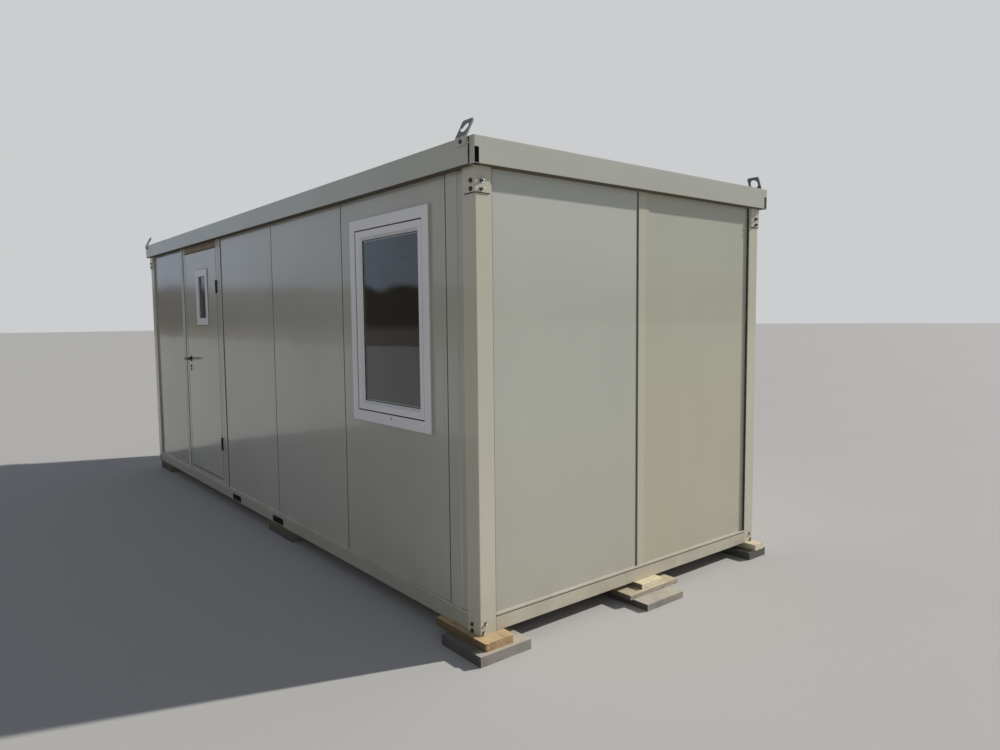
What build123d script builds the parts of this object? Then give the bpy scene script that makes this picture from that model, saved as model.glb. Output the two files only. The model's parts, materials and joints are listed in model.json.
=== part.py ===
from build123d import *
import math
import os

os.makedirs("parts", exist_ok=True)

# Overall sizes, in millimetres. The origin is on the floor, under the middle of the cabin.
# +X runs along the cabin, the long wall with the door and the window faces -Y, and +Z is up.
cabin_length = 6070
cabin_width = 2395
frame_height = 2415
contact_gap = 0.3

# Stand of timber packers on concrete pavers.
timber_thickness = 40
paver_thickness = 52

# Base frame.
base_beam_height = 76
base_beam_depth = 62
base_sheet = 4
joist_width = 45
joist_spacing = 520
deck_thickness = 18
sill_height = 13
sill_neck_height = 4
sill_neck_inset = 10

# Fork pockets.
pocket_width = 200
pocket_height = 46
pocket_lift = 10
pocket_spacing = 920
sleeve_wall = 3

# Corner columns and their brackets.
column_front_leg = 107
column_end_leg = 101
column_sheet = 3
fold_radius = 4
bracket_leg = 86
bracket_drop = 122
bracket_thickness = 6

# Wall panels.
panel_recess = 16
panel_thickness = 50
panel_pitch = 1150
first_joint = 268
joint_gap = 1
joint_groove_width = 8
joint_groove_depth = 12
joint_band = 42
joint_line_width = 3
joint_line_depth = 2
strip_width = 100
strip_rise = 6
tongue_thickness = 16
tongue_length = 10
end_joint = 1176

# Roof frame.
fascia_height = 130
roof_overhang = 43
roof_sheet_steel = 3
rim_width = 40
rim_lip = 16
ceiling_ledge = 30
long_beam_past = 1.5
corner_gap = 2.5
corner_set_back = 8
corner_open_lap = 20
corner_slot_width = 27
corner_slot_height = 73
corner_slot_inset = 2
corner_slot_lift = 4
ceiling_thickness = 50
purlin_width = 50
purlin_count = 7
roof_skin = 1
rib_height = 14
rib_pitch = 260
rib_foot = 60
rib_top = 26

# Lifting lugs, one at each end of both long roof beams.
lug_thickness = 8
lug_width = 84
lug_inset = 2.5
lug_leg = 42
lug_reach = 102
lug_lean_deg = 28
lug_eye_radius = 28
lug_eye_distance = 57
lug_corner_radius = 9

# Door, placed after the filler beside the last plain panel. The head gap lies between the leaf and the roof beam.
door_filler_width = 70
leaf_width = 928
leaf_head_gap = 66
leaf_thickness = 40
leaf_lift = 137
leaf_gap = 8
leaf_face = 9
door_frame_face = 55
door_rebate = 14
stop_depth = 12

# Vision window in the door leaf.
vision_centre_offset = 419
vision_width = 338
vision_height = 517
vision_head_drop = 167
vision_rim = 66
vision_proud = 7
vision_grip = 18
vision_glass_thickness = 20

# Door hinges: the lower one is placed from the base and the upper one from the leaf's head.
hinge_height = 116
lower_hinge_lift = 403
upper_hinge_drop = 286
hinge_radius = 6.5
hinge_pin_radius = 3
hinge_pin_clearance = 0.1
hinge_knuckle_gap = 1
hinge_wing_width = 14
hinge_wing_thickness = 2.5
hinge_stand_off = 7

# Lever handle.
lever_lift = 1205
lever_backset = 70
rose_radius = 26
rose_thickness = 8
cylinder_rose_radius = 13
cylinder_drop = 75
key_cover_radius = 9
key_cover_drop = 107
lever_neck_radius = 10
lever_neck_length = 52
lever_arm_length = 125
lever_arm_height = 20
lever_arm_thickness = 12
spindle_radius = 5
spindle_clearance = 0.6

# Window in the first front panel, placed from the panel's middle and from the roof beam.
window_panel_offset = 4
window_width = 870
window_height = 1202
window_head_drop = 125
window_proud = 14
window_face = 62
window_flange = 20
window_inner_trim = 6
sash_stile = 54
window_fit_gap = 5
sash_gap = 7
sash_set_back = 3
sash_depth = 38
sash_lip = 16
sash_bevel = 18
glass_depth = 16
glass_grip = 8
glass_set_back = 18

# Packers. Each piece is given by its length along X, its width along Y and how far it stands out past the cabin.
corner_board = (426, 184)
corner_board_out = (86, 36)
corner_paver = (330, 318)
corner_paver_out = (112, 84)
narrow_board = (400, 96)
narrow_board_out = (80, 8)
narrow_block = (390, 190)
narrow_block_out = (76, 38)
hidden_inset = 14
side_packer = (450, 200)
side_packer_inset = 12
end_block = (190, 192)
end_block_out = 60
end_block_height = 28
end_board = (170, 430)
end_board_out = 84
end_board_height = 26
end_slab = (300, 320)
end_slab_out = 190
end_stack_shift = 46
end_board_shift = -10
end_slab_shift = -42

# Heights that follow from the sizes above.
stack_height = timber_thickness + paver_thickness
base_top = stack_height + base_beam_height
sill_top = base_top + sill_height
deck_top = base_top + deck_thickness
fascia_top = stack_height + frame_height
fascia_bottom = fascia_top - fascia_height
wall_height = fascia_bottom - sill_top
half_length = cabin_length / 2
half_width = cabin_width / 2
panel_back = panel_recess + panel_thickness
plain_panels = 2
door_bay_start = first_joint + (plain_panels + 1) * panel_pitch
door_frame_near = door_bay_start + door_filler_width + 2 * joint_gap
door_hinge_edge = door_frame_near + door_frame_face + leaf_gap
window_centre = first_joint + panel_pitch / 2 + window_panel_offset
door_hinge_x = half_length - door_hinge_edge
door_centre_x = door_hinge_x - leaf_width / 2
door_free_x = door_hinge_x - leaf_width
window_x = half_length - window_centre
leaf_bottom = stack_height + leaf_lift
leaf_top = fascia_bottom - leaf_head_gap
vision_bottom = leaf_top - vision_head_drop - vision_height
window_bottom = fascia_bottom - window_head_drop - window_height
hinge_heights = (stack_height + lower_hinge_lift, leaf_top - upper_hinge_drop - hinge_height)
lever_x = door_free_x + lever_backset
lever_z = stack_height + lever_lift
hinge_axis_x = door_hinge_x + leaf_gap / 2
hinge_axis_y = -half_width + leaf_face - hinge_stand_off


def block(x0, x1, y0, y1, z0, z1):
    """A plain block between two values along each axis."""
    size = (abs(x1 - x0), abs(y1 - y0), abs(z1 - z0))
    return Pos((x0 + x1) / 2, (y0 + y1) / 2, (z0 + z1) / 2) * Box(*size)


def outline_face(outline, folds, radius):
    """A flat face with the corners at the given places in its outline rounded, as a press leaves a fold."""
    face = make_face(Polyline(*outline, close=True))
    if folds:
        corners = [Vector(*outline[i]) for i in folds]
        tips = [min(face.vertices(), key=lambda tip: (tip.center() - corner).length) for corner in corners]
        face = fillet(tips, radius)
    return face


def prism_z(points, z0, z1, folds=(), radius=fold_radius):
    """A straight piece standing on the outline given in plan."""
    outline = [(x, y, z0) for x, y in points]
    return extrude(outline_face(outline, folds, radius), amount=z1 - z0, dir=(0, 0, 1))


def prism_x(points, x0, x1, folds=(), radius=fold_radius):
    """A straight piece along X with an outline given as (y, z) points."""
    outline = [(x0, y, z) for y, z in points]
    return extrude(outline_face(outline, folds, radius), amount=x1 - x0, dir=(1, 0, 0))


def prism_y(points, y0, y1, folds=(), radius=fold_radius):
    """A straight piece along Y with an outline given as (x, z) points."""
    outline = [(x, y0, z) for x, z in points]
    return extrude(outline_face(outline, folds, radius), amount=y1 - y0, dir=(0, 1, 0))


def ring_y(width, height, border, y0, y1, x, z0):
    """A rectangular frame in the wall's plane, with the same border all round."""
    outer = block(x - width / 2, x + width / 2, y0, y1, z0, z0 + height)
    inner = block(
        x - width / 2 + border, x + width / 2 - border, y0 - 1, y1 + 1, z0 + border, z0 + height - border
    )
    return outer - inner


def rod(radius, length, start, direction):
    """A round bar from a start point along a direction."""
    plane = Plane(origin=start, z_dir=direction)
    return extrude(plane * Circle(radius), amount=length)


def at_end(shape, side):
    """Moves a shape made for the right end (+1) to the left end (-1)."""
    return shape if side > 0 else mirror(shape, about=Plane.YZ)


def at_back(shape, side):
    """Moves a shape made for the front (-1) to the back (+1)."""
    return shape if side < 0 else mirror(shape, about=Plane.XZ)


def one(shape):
    """Gives the single solid of a shape."""
    solids = shape.solids()
    return solids[0] if len(solids) == 1 else Compound(children=list(solids))


def group(shapes):
    """Holds separate solids as one piece of the model."""
    return Compound(children=[solid for shape in shapes for solid in shape.solids()])


def base_beam_long():
    """The front base beam: an open channel with the two fork pockets cut through its web."""
    y0 = -half_width
    x1 = half_length - column_front_leg
    z0 = stack_height
    depth = base_beam_depth
    outline = [
        (y0, z0),
        (y0 + depth, z0),
        (y0 + depth, z0 + base_sheet),
        (y0 + base_sheet, z0 + base_sheet),
        (y0 + base_sheet, base_top - base_sheet),
        (y0 + depth, base_top - base_sheet),
        (y0 + depth, base_top),
        (y0, base_top),
    ]
    beam = prism_x(outline, -x1, x1, folds=(0, 7))
    for x in (-pocket_spacing / 2, pocket_spacing / 2):
        half = pocket_width / 2 + sleeve_wall
        low = z0 + pocket_lift - sleeve_wall
        high = low + pocket_height + 2 * sleeve_wall
        beam -= block(x - half, x + half, y0 - 1, y0 + base_sheet + 1, low, high)
    return beam


def base_beam_end():
    """The right base beam: the same channel between the columns, with its web outside."""
    x0 = half_length
    y1 = half_width - column_end_leg
    z0 = stack_height
    depth = base_beam_depth
    outline = [
        (x0, z0),
        (x0, base_top),
        (x0 - depth, base_top),
        (x0 - depth, base_top - base_sheet),
        (x0 - base_sheet, base_top - base_sheet),
        (x0 - base_sheet, z0 + base_sheet),
        (x0 - depth, z0 + base_sheet),
        (x0 - depth, z0),
    ]
    return prism_y(outline, -y1, y1, folds=(0, 1))


def fork_sleeve(x):
    """A rectangular tube from the front beam's web to the back one's."""
    low = stack_height + pocket_lift
    half = pocket_width / 2
    outer = block(
        x - half - sleeve_wall,
        x + half + sleeve_wall,
        -half_width,
        half_width,
        low - sleeve_wall,
        low + pocket_height + sleeve_wall,
    )
    return outer - block(x - half, x + half, -half_width - 1, half_width + 1, low, low + pocket_height)


def floor_joists():
    """Channel joists between the long beams' webs, kept clear of the fork sleeves."""
    span = half_width - base_beam_depth
    reach = half_length - base_beam_depth - joist_width
    count = int(reach // joist_spacing)
    joists = []
    for i in range(-count, count + 1):
        x = i * joist_spacing
        sleeve_edge = pocket_width / 2 + sleeve_wall + joist_width / 2
        if abs(abs(x) - pocket_spacing / 2) < sleeve_edge + contact_gap:
            x = math.copysign(pocket_spacing / 2 + sleeve_edge + joist_width / 2, x)
        half = joist_width / 2
        body = block(x - half, x + half, -span, span, stack_height, base_top)
        hollow = block(
            x - half + base_sheet,
            x + half + 1,
            -span - 1,
            span + 1,
            stack_height + base_sheet,
            base_top - base_sheet,
        )
        joists.append(body - hollow)
    return group(joists)


def floor_deck():
    """The floor board inside the walls, lying on the beams and joists."""
    inside = panel_back + contact_gap
    return block(
        -half_length + inside, half_length - inside, -half_width + inside, half_width - inside, base_top, deck_top
    )


def sill_outline(face):
    """Section of the sill channel: a narrow neck below and a flat ledge above."""
    ledge = base_top + sill_neck_height
    return [
        (face + sill_neck_inset, base_top),
        (face + panel_back, base_top),
        (face + panel_back, sill_top),
        (face, sill_top),
        (face, ledge),
        (face + sill_neck_inset, ledge),
    ]


def floor_sills():
    """The four channels that the wall panels stand in."""
    reach_x = half_length - column_front_leg
    reach_y = half_width - column_end_leg
    front = prism_x(sill_outline(-half_width), -reach_x, reach_x)
    right_outline = [(-y, z) for y, z in sill_outline(-half_length)]
    right = prism_y(right_outline, -reach_y, reach_y)
    return group([front, at_back(front, 1), right, at_end(right, -1)])


def column():
    """The front right corner column: a folded angle with lips that reach the wall panels."""
    x, y = half_length, -half_width
    leg, end_leg = column_front_leg, column_end_leg
    sheet, lip = column_sheet, panel_recess
    outline = [
        (x, y),
        (x, y + end_leg),
        (x - lip, y + end_leg),
        (x - lip, y + end_leg - sheet),
        (x - sheet, y + end_leg - sheet),
        (x - sheet, y + sheet),
        (x - leg + sheet, y + sheet),
        (x - leg + sheet, y + lip),
        (x - leg, y + lip),
        (x - leg, y),
    ]
    return prism_z(outline, stack_height, fascia_bottom, folds=(0, 1, 9))


def corner_bracket():
    """The plate bent round the head of the front right column, under the roof corner."""
    x, y = half_length, -half_width
    leg, thick = bracket_leg, bracket_thickness
    outline = [
        (x + thick, y - thick),
        (x + thick, y + leg),
        (x, y + leg),
        (x, y),
        (x - leg, y),
        (x - leg, y - thick),
    ]
    return prism_z(outline, fascia_bottom - bracket_drop, fascia_bottom, folds=(0,))


def roof_beam_long():
    """The front roof beam: tall outer web, folded rim above and a ledge below for wall and ceiling."""
    y0 = -half_width - roof_overhang
    steel = roof_sheet_steel
    ledge = -half_width + panel_back + ceiling_ledge
    x1 = half_length + long_beam_past
    outline = [
        (y0, fascia_bottom),
        (ledge, fascia_bottom),
        (ledge, fascia_bottom + steel),
        (y0 + steel, fascia_bottom + steel),
        (y0 + steel, fascia_top - steel),
        (y0 + rim_width - steel, fascia_top - steel),
        (y0 + rim_width - steel, fascia_top - rim_lip),
        (y0 + rim_width, fascia_top - rim_lip),
        (y0 + rim_width, fascia_top),
        (y0, fascia_top),
    ]
    return prism_x(outline, -x1, x1, folds=(0, 9))


def roof_beam_end():
    """The right roof beam: returns beside the long beams' ends, with an open slot at each corner."""
    steel = roof_sheet_steel
    x1 = half_length + roof_overhang
    x0 = half_length + long_beam_past + corner_gap
    y1 = half_width + roof_overhang - corner_set_back
    shell = block(x0, x1, -y1, y1, fascia_bottom, fascia_top)
    shell = fillet(shell.faces().sort_by(Axis.X)[-1].edges(), fold_radius)
    inner_y = y1 - steel
    shell -= block(x0 - 1, x1 - steel, -inner_y, inner_y, fascia_bottom + steel, fascia_top - steel)
    ledge_x = half_length - panel_back - ceiling_ledge
    ledge_y = half_width - panel_back - ceiling_ledge - contact_gap
    shell += block(ledge_x, x0, -ledge_y, ledge_y, fascia_bottom, fascia_bottom + steel)
    slot_z = fascia_bottom + corner_slot_lift
    for side in (-1, 1):
        outer = y1 - corner_slot_inset
        slot = block(
            x1 - steel - 1, x1 + 1, side * (outer - corner_slot_width), side * outer, slot_z, slot_z + corner_slot_height
        )
        open_from = half_width - corner_open_lap
        beneath = block(
            x0 - 1, x1 - steel, side * open_from, side * inner_y, fascia_bottom - 1, fascia_bottom + steel + 1
        )
        shell -= slot + beneath
    return shell


def lifting_lug():
    """The front right lug: a plate bolted to the roof beam, bent inwards, with a round eye."""
    y_face = -half_width - roof_overhang
    half = lug_width / 2
    x_mid = half_length + long_beam_past - lug_inset - half
    cut = lug_corner_radius
    low = fascia_top - lug_leg
    foot_outline = [
        (x_mid - half, fascia_top),
        (x_mid - half, low + cut),
        (x_mid - half + cut, low),
        (x_mid + half - cut, low),
        (x_mid + half, low + cut),
        (x_mid + half, fascia_top),
    ]
    foot = prism_y(foot_outline, y_face - lug_thickness, y_face)
    lean = math.radians(lug_lean_deg)
    bend_plane = Plane(
        origin=(x_mid, y_face - lug_thickness, fascia_top),
        x_dir=(1, 0, 0),
        z_dir=(0, math.cos(lean), -math.sin(lean)),
    )
    blade_outline = Polyline((-half, 0), (half, 0), (half, -lug_reach), (-half, -lug_reach), close=True)
    blade_face = make_face(blade_outline)
    tips = blade_face.vertices().sort_by(Axis.Y)[:2]
    blade_face = fillet(tips, cut)
    blade_face -= Pos(0, -lug_eye_distance) * Circle(lug_eye_radius)
    blade = extrude(bend_plane * blade_face, amount=lug_thickness)
    span = (x_mid - half - 1, x_mid + half + 1)
    blade -= block(*span, y_face, y_face + lug_thickness, fascia_top - lug_thickness, fascia_top)
    bend = rod(lug_thickness, lug_width, (x_mid - half, y_face, fascia_top), (1, 0, 0))
    keep = block(*span, y_face - lug_thickness, y_face, fascia_top, fascia_top + lug_thickness)
    return foot + blade + (bend & keep)


def roof_purlins():
    """Box purlins across the ceiling panel that carry the roof sheet."""
    low = fascia_bottom + roof_sheet_steel + ceiling_thickness
    high = fascia_top - roof_sheet_steel - rib_height - 2 * roof_skin
    reach = half_length - panel_back - purlin_width
    step = 2 * reach / (purlin_count - 1)
    y1 = half_width - panel_recess
    bars = []
    for i in range(purlin_count):
        x = -reach + i * step
        body = block(x - purlin_width / 2, x + purlin_width / 2, -y1, y1, low, high)
        bore = purlin_width / 2 - roof_sheet_steel
        body -= block(x - bore, x + bore, -y1 - 1, y1 + 1, low + roof_sheet_steel, high - roof_sheet_steel)
        bars.append(body)
    return group(bars)


def roof_sheet():
    """One ribbed steel sheet under the rim, with its ribs across the cabin."""
    low = fascia_top - roof_sheet_steel - rib_height - 2 * roof_skin
    x1 = half_length + roof_overhang - rim_width - contact_gap
    y1 = half_width + roof_overhang - rim_width - contact_gap
    count = int(2 * x1 // rib_pitch)
    start = -(count - 1) * rib_pitch / 2
    slope = (rib_foot - rib_top) / 2
    upper = [(-x1, low + roof_skin)]
    lower = [(-x1, low)]
    for i in range(count):
        x = start + i * rib_pitch - rib_foot / 2
        rise = low + rib_height
        upper += [
            (x, low + roof_skin),
            (x + slope, rise + roof_skin),
            (x + slope + rib_top, rise + roof_skin),
            (x + rib_foot, low + roof_skin),
        ]
        lower += [
            (x + roof_skin, low),
            (x + slope + roof_skin / 2, rise),
            (x + slope + rib_top - roof_skin / 2, rise),
            (x + rib_foot - roof_skin, low),
        ]
    upper.append((x1, low + roof_skin))
    lower.append((x1, low))
    return prism_y(upper + lower[::-1], -y1, y1)


def ceiling_panel():
    """The insulated ceiling, lying on the roof beams' ledges."""
    low = fascia_bottom + roof_sheet_steel
    x1 = half_length - panel_recess
    y1 = half_width - panel_recess
    return block(-x1, x1, -y1, y1, low, low + ceiling_thickness)


def panel_outline(start, end, strip_first=False, tongue=True, socket=True, band=True):
    """
    Plan outline of one wall panel that runs from start to end along the wall.
    The second value of each point is the depth behind the cabin's outer face.
    The start edge has the groove for the neighbour's tongue, and either a raised strip or a
    line beside the joint. The end edge has the tongue.
    """
    face, back = panel_recess, panel_back
    middle = (face + back) / 2
    half_tongue = tongue_thickness / 2
    points = []
    if strip_first:
        points += [
            (start, face + joint_groove_depth),
            (start + joint_groove_width, face + joint_groove_depth),
            (start + joint_groove_width, face - strip_rise),
            (start + strip_width, face - strip_rise),
            (start + strip_width + strip_rise, face),
        ]
    elif band:
        line = start + joint_band
        points += [
            (start, face + joint_groove_depth),
            (start + joint_groove_width, face + joint_groove_depth),
            (start + joint_groove_width, face),
            (line - joint_line_width / 2, face),
            (line, face + joint_line_depth),
            (line + joint_line_width / 2, face),
        ]
    else:
        points += [(start, face)]
    points += [(end - joint_line_width / 2, face), (end, face + joint_line_depth)]
    if tongue:
        points += [
            (end, middle - half_tongue),
            (end + tongue_length, middle - half_tongue + joint_line_depth),
            (end + tongue_length, middle + half_tongue - joint_line_depth),
            (end, middle + half_tongue),
        ]
    points += [(end, back), (start, back)]
    if socket:
        room = half_tongue + joint_gap
        points += [
            (start, middle + room),
            (start + tongue_length + joint_gap, middle + room - joint_line_depth),
            (start + tongue_length + joint_gap, middle - room + joint_line_depth),
            (start, middle - room),
        ]
    return points


def front_panel(start, end, **shape):
    """A front panel between two distances from the cabin's right end, measured to the left."""
    outline = panel_outline(start, end, **shape)
    points = [(half_length - along, -half_width + depth) for along, depth in outline]
    return prism_z(points, sill_top, fascia_bottom)


def end_panel(start, end, **shape):
    """A right end panel between two distances from the cabin's front face."""
    outline = panel_outline(start, end, **shape)
    points = [(half_length - depth, -half_width + along) for along, depth in outline]
    return prism_z(points, sill_top, fascia_bottom)


def window_panel():
    """The first full front panel, with the hole that the window frame stands in."""
    panel = front_panel(first_joint + joint_gap, first_joint + panel_pitch)
    rim = window_flange - window_fit_gap
    hole = block(
        window_x - window_width / 2 + rim,
        window_x + window_width / 2 - rim,
        -half_width,
        -half_width + panel_back + 1,
        window_bottom + rim,
        window_bottom + window_height - rim,
    )
    return panel - hole


def end_wall_panels():
    """The two panels of the right end wall; the second has the raised strip at the joint."""
    first = end_panel(panel_back, end_joint, socket=False, band=False)
    second = end_panel(end_joint + joint_gap, cabin_width - panel_back, strip_first=True, tongue=False)
    return [first, second]


def back_wall_panels():
    """Five panels along the back, with the front wall's pitch and its strip beside the corner."""
    last = cabin_length - panel_back
    starts = [first_joint + i * panel_pitch for i in range(int((last - first_joint) // panel_pitch) + 1)]
    panels = [corner_filler()]
    for i, start in enumerate(starts):
        end = starts[i + 1] if i + 1 < len(starts) else last
        panels.append(front_panel(start + joint_gap, end, tongue=i + 1 < len(starts)))
    return group([at_back(panel, 1) for panel in panels])


def corner_filler():
    """The narrow piece between the right column and the first joint, with the raised strip."""
    outline = panel_outline(0, first_joint - panel_back, strip_first=True, tongue=False, socket=True)
    points = [(half_length - first_joint + along, -half_width + depth) for along, depth in outline]
    return prism_z(points, sill_top, fascia_bottom)


def door_outer():
    """The door frame's outer edges, as distances from the cabin's right end."""
    near = door_frame_near
    far = door_hinge_edge + leaf_width + leaf_gap + door_frame_face
    return near, far


def door_filler():
    """The strip of wall between the last plain panel and the door frame."""
    near, _ = door_outer()
    return front_panel(door_bay_start + joint_gap, near - joint_gap, tongue=False, band=False)


def far_panel():
    """The panel beyond the door, with the raised strip beside the door frame."""
    _, far = door_outer()
    outline = panel_outline(
        far + joint_gap, cabin_length - panel_back, strip_first=True, tongue=False, socket=False
    )
    points = [(half_length - along, -half_width + depth) for along, depth in outline]
    return prism_z(points, sill_top, fascia_bottom)


def door_frame():
    """The folded steel frame round the door, with a stop behind the leaf."""
    near, far = door_outer()
    x1, x0 = half_length - near, half_length - far
    y0 = -half_width + leaf_face
    y1 = -half_width + panel_back
    outer = block(x0, x1, y0, y1, sill_top, fascia_bottom)
    clear = block(
        door_free_x - leaf_gap, door_hinge_x + leaf_gap, y0 - 1, y0 + leaf_thickness + contact_gap,
        leaf_bottom - leaf_gap, leaf_top + leaf_gap,
    )
    way = block(
        door_free_x + stop_depth, door_hinge_x - stop_depth, y0, y1 + 1, leaf_bottom + stop_depth, leaf_top - stop_depth
    )
    return outer - clear - way


def door_leaf():
    """The flush leaf with the vision hole, the spindle hole and a folded edge line."""
    y0 = -half_width + leaf_face
    leaf = block(door_free_x, door_hinge_x, y0, y0 + leaf_thickness, leaf_bottom, leaf_top)
    grip = vision_grip
    x = door_hinge_x - vision_centre_offset
    low = vision_bottom
    leaf -= block(
        x - vision_width / 2 + grip,
        x + vision_width / 2 - grip,
        y0 - 1,
        y0 + leaf_thickness + 1,
        low + grip,
        low + vision_height - grip,
    )
    spindle_room = spindle_radius + spindle_clearance
    leaf -= rod(spindle_room, leaf_thickness + 2, (lever_x, y0 - 1, lever_z), (0, 1, 0))
    return leaf


def vision_half(inside):
    """One half of the vision window's frame, clamped on the glass from its side of the leaf."""
    y0 = -half_width + leaf_face
    x = door_hinge_x - vision_centre_offset
    low = vision_bottom
    slack = 0.5
    neck = (leaf_thickness - vision_glass_thickness) / 2
    grip = vision_grip + slack
    rim = ring_y(vision_width, vision_height, vision_rim, y0 - vision_proud, y0, x, low)
    collar = ring_y(
        vision_width - 2 * grip, vision_height - 2 * grip, vision_rim - grip, y0, y0 + neck, x, low + grip
    )
    opening = block(
        x - vision_width / 2 + vision_rim, x + vision_width / 2 - vision_rim,
        y0 - vision_proud, y0, low + vision_rim, low + vision_height - vision_rim,
    )
    half = rim + collar
    edges = half.edges().filter_by(lambda e: abs(e.center().Y - (y0 - vision_proud)) < 0.01)
    inner = [e for e in edges if opening.distance_to(e.center()) < 0.01]
    half = chamfer(inner, vision_proud - 1)
    if inside:
        middle = y0 + leaf_thickness / 2
        half = mirror(half, about=Plane(origin=(0, middle, 0), z_dir=(0, 1, 0)))
    return half


def vision_glass():
    """The sealed glass unit in the door leaf."""
    y0 = -half_width + leaf_face
    x = door_hinge_x - vision_centre_offset
    low = vision_bottom
    grip = vision_grip + 0.5
    neck = (leaf_thickness - vision_glass_thickness) / 2
    return block(
        x - vision_width / 2 + grip, x + vision_width / 2 - grip,
        y0 + neck, y0 + leaf_thickness - neck, low + grip, low + vision_height - grip,
    )


def hinge_halves(z0):
    """The fixed and the moving half of one hinge: outer knuckles with the pin, and the middle one."""
    third = hinge_height / 3
    face = -half_width + leaf_face
    axis = (hinge_axis_x, hinge_axis_y)
    fixed = rod(hinge_pin_radius, hinge_height, (*axis, z0), (0, 0, 1))
    for z in (z0, z0 + 2 * third):
        fixed += rod(hinge_radius, third, (*axis, z), (0, 0, 1))
        fixed += block(
            hinge_axis_x, hinge_axis_x + hinge_wing_width,
            face - hinge_wing_thickness, face, z, z + third,
        )
    low = z0 + third + hinge_knuckle_gap
    high = z0 + 2 * third - hinge_knuckle_gap
    moving = rod(hinge_radius, high - low, (*axis, low), (0, 0, 1))
    moving += block(
        hinge_axis_x - hinge_wing_width, hinge_axis_x, face - hinge_wing_thickness, face, low, high
    )
    moving -= rod(hinge_pin_radius + hinge_pin_clearance, hinge_height, (*axis, z0), (0, 0, 1))
    return fixed, moving


def lever_side():
    """The outer lever: a round neck and a flat arm that points to the hinges."""
    face = -half_width + leaf_face
    neck = rod(lever_neck_radius, lever_neck_length, (lever_x, face - contact_gap, lever_z), (0, -1, 0))
    tip = face - contact_gap - lever_neck_length
    half_height = lever_arm_height / 2
    end_x = lever_x + lever_arm_length
    arm = block(lever_x, end_x - half_height, tip - lever_arm_thickness, tip, lever_z - half_height, lever_z + half_height)
    for x in (lever_x, end_x - half_height):
        arm += rod(half_height, lever_arm_thickness, (x, tip, lever_z), (0, -1, 0))
    return neck + arm


def door_lever():
    """Both levers on one spindle through the leaf."""
    face = -half_width + leaf_face
    middle = Plane(origin=(0, face + leaf_thickness / 2, 0), z_dir=(0, 1, 0))
    outer = lever_side()
    spindle = rod(spindle_radius, leaf_thickness + 2 * contact_gap, (lever_x, face - contact_gap, lever_z), (0, 1, 0))
    return outer + spindle + mirror(outer, about=middle)


def door_roses():
    """Round roses on both faces: round the lever's neck, over the lock cylinder and over the keyhole."""
    face = -half_width + leaf_face
    middle = Plane(origin=(0, face + leaf_thickness / 2, 0), z_dir=(0, 1, 0))
    pieces = []
    for radius, drop in ((rose_radius, 0), (cylinder_rose_radius, cylinder_drop), (key_cover_radius, key_cover_drop)):
        rose = rod(radius, rose_thickness, (lever_x, face, lever_z - drop), (0, -1, 0))
        pieces.append(chamfer(rose.edges().sort_by(Axis.Y)[0], 2))
    room = lever_neck_radius + spindle_clearance
    pieces[0] -= rod(room, rose_thickness + 2, (lever_x, face + 1, lever_z), (0, -1, 0))
    return group(pieces + [mirror(rose, about=middle) for rose in pieces])


def window_frame():
    """The fixed white frame: outer flange, body through the wall, inner trim and a lip for the sash."""
    y_front = -half_width + panel_recess - window_proud
    y_wall = -half_width + panel_recess
    y_back = -half_width + panel_back
    low = window_bottom
    flange = ring_y(window_width, window_height, window_face, y_front, y_wall, window_x, low)
    grip = window_flange
    body = ring_y(
        window_width - 2 * grip, window_height - 2 * grip, window_face - grip, y_wall, y_back, window_x, low + grip
    )
    trim = ring_y(window_width, window_height, window_face, y_back, y_back + window_inner_trim, window_x, low)
    sash_back = y_front + sash_set_back + sash_depth
    lip_border = window_face - grip + sash_lip
    lip = ring_y(
        window_width - 2 * grip, window_height - 2 * grip, lip_border, sash_back, y_back, window_x, low + grip
    )
    return flange + body + trim + lip


def window_sash():
    """The sash, seated on the frame's lip, bevelled towards its glass."""
    y0 = -half_width + panel_recess - window_proud + sash_set_back
    border = window_face + sash_gap
    width = window_width - 2 * border
    height = window_height - 2 * border
    low = window_bottom + border
    sash = ring_y(width, height, sash_stile, y0, y0 + sash_depth, window_x, low)
    opening = block(
        window_x - width / 2 + sash_stile, window_x + width / 2 - sash_stile,
        y0, y0 + sash_depth, low + sash_stile, low + height - sash_stile,
    )
    edges = sash.edges().filter_by(lambda e: abs(e.center().Y - y0) < 0.01)
    inner = [e for e in edges if opening.distance_to(e.center()) < 0.01]
    sash = chamfer(inner, sash_bevel)
    grip = glass_grip
    sash -= block(
        window_x - width / 2 + sash_stile - grip, window_x + width / 2 - sash_stile + grip,
        y0 + glass_set_back, y0 + glass_set_back + glass_depth,
        low + sash_stile - grip, low + height - sash_stile + grip,
    )
    return sash


def window_glass():
    """The sealed glass unit, held in the sash's groove."""
    y0 = -half_width + panel_recess - window_proud + sash_set_back + glass_set_back
    border = window_face + sash_gap + sash_stile - glass_grip
    width = window_width - 2 * border
    height = window_height - 2 * border
    low = window_bottom + border
    return block(window_x - width / 2, window_x + width / 2, y0, y0 + glass_depth, low, low + height)


def corner_piece(size, out, z0, z1, end, side):
    """A plate under one corner; size and out are given along X and Y, and end and side name the corner."""
    x, y = half_length + out[0], half_width + out[1]
    return block(end * x, end * (x - size[0]), side * y, side * (y - size[1]), z0, z1)


def end_piece(width_length, out, shift, z0, z1, end):
    """A plate under the middle of an end; width_length is given along X and Y."""
    x = half_length + out
    width, length = width_length
    return block(end * x, end * (x - width), shift - length / 2, shift + length / 2, z0, z1)


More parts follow.
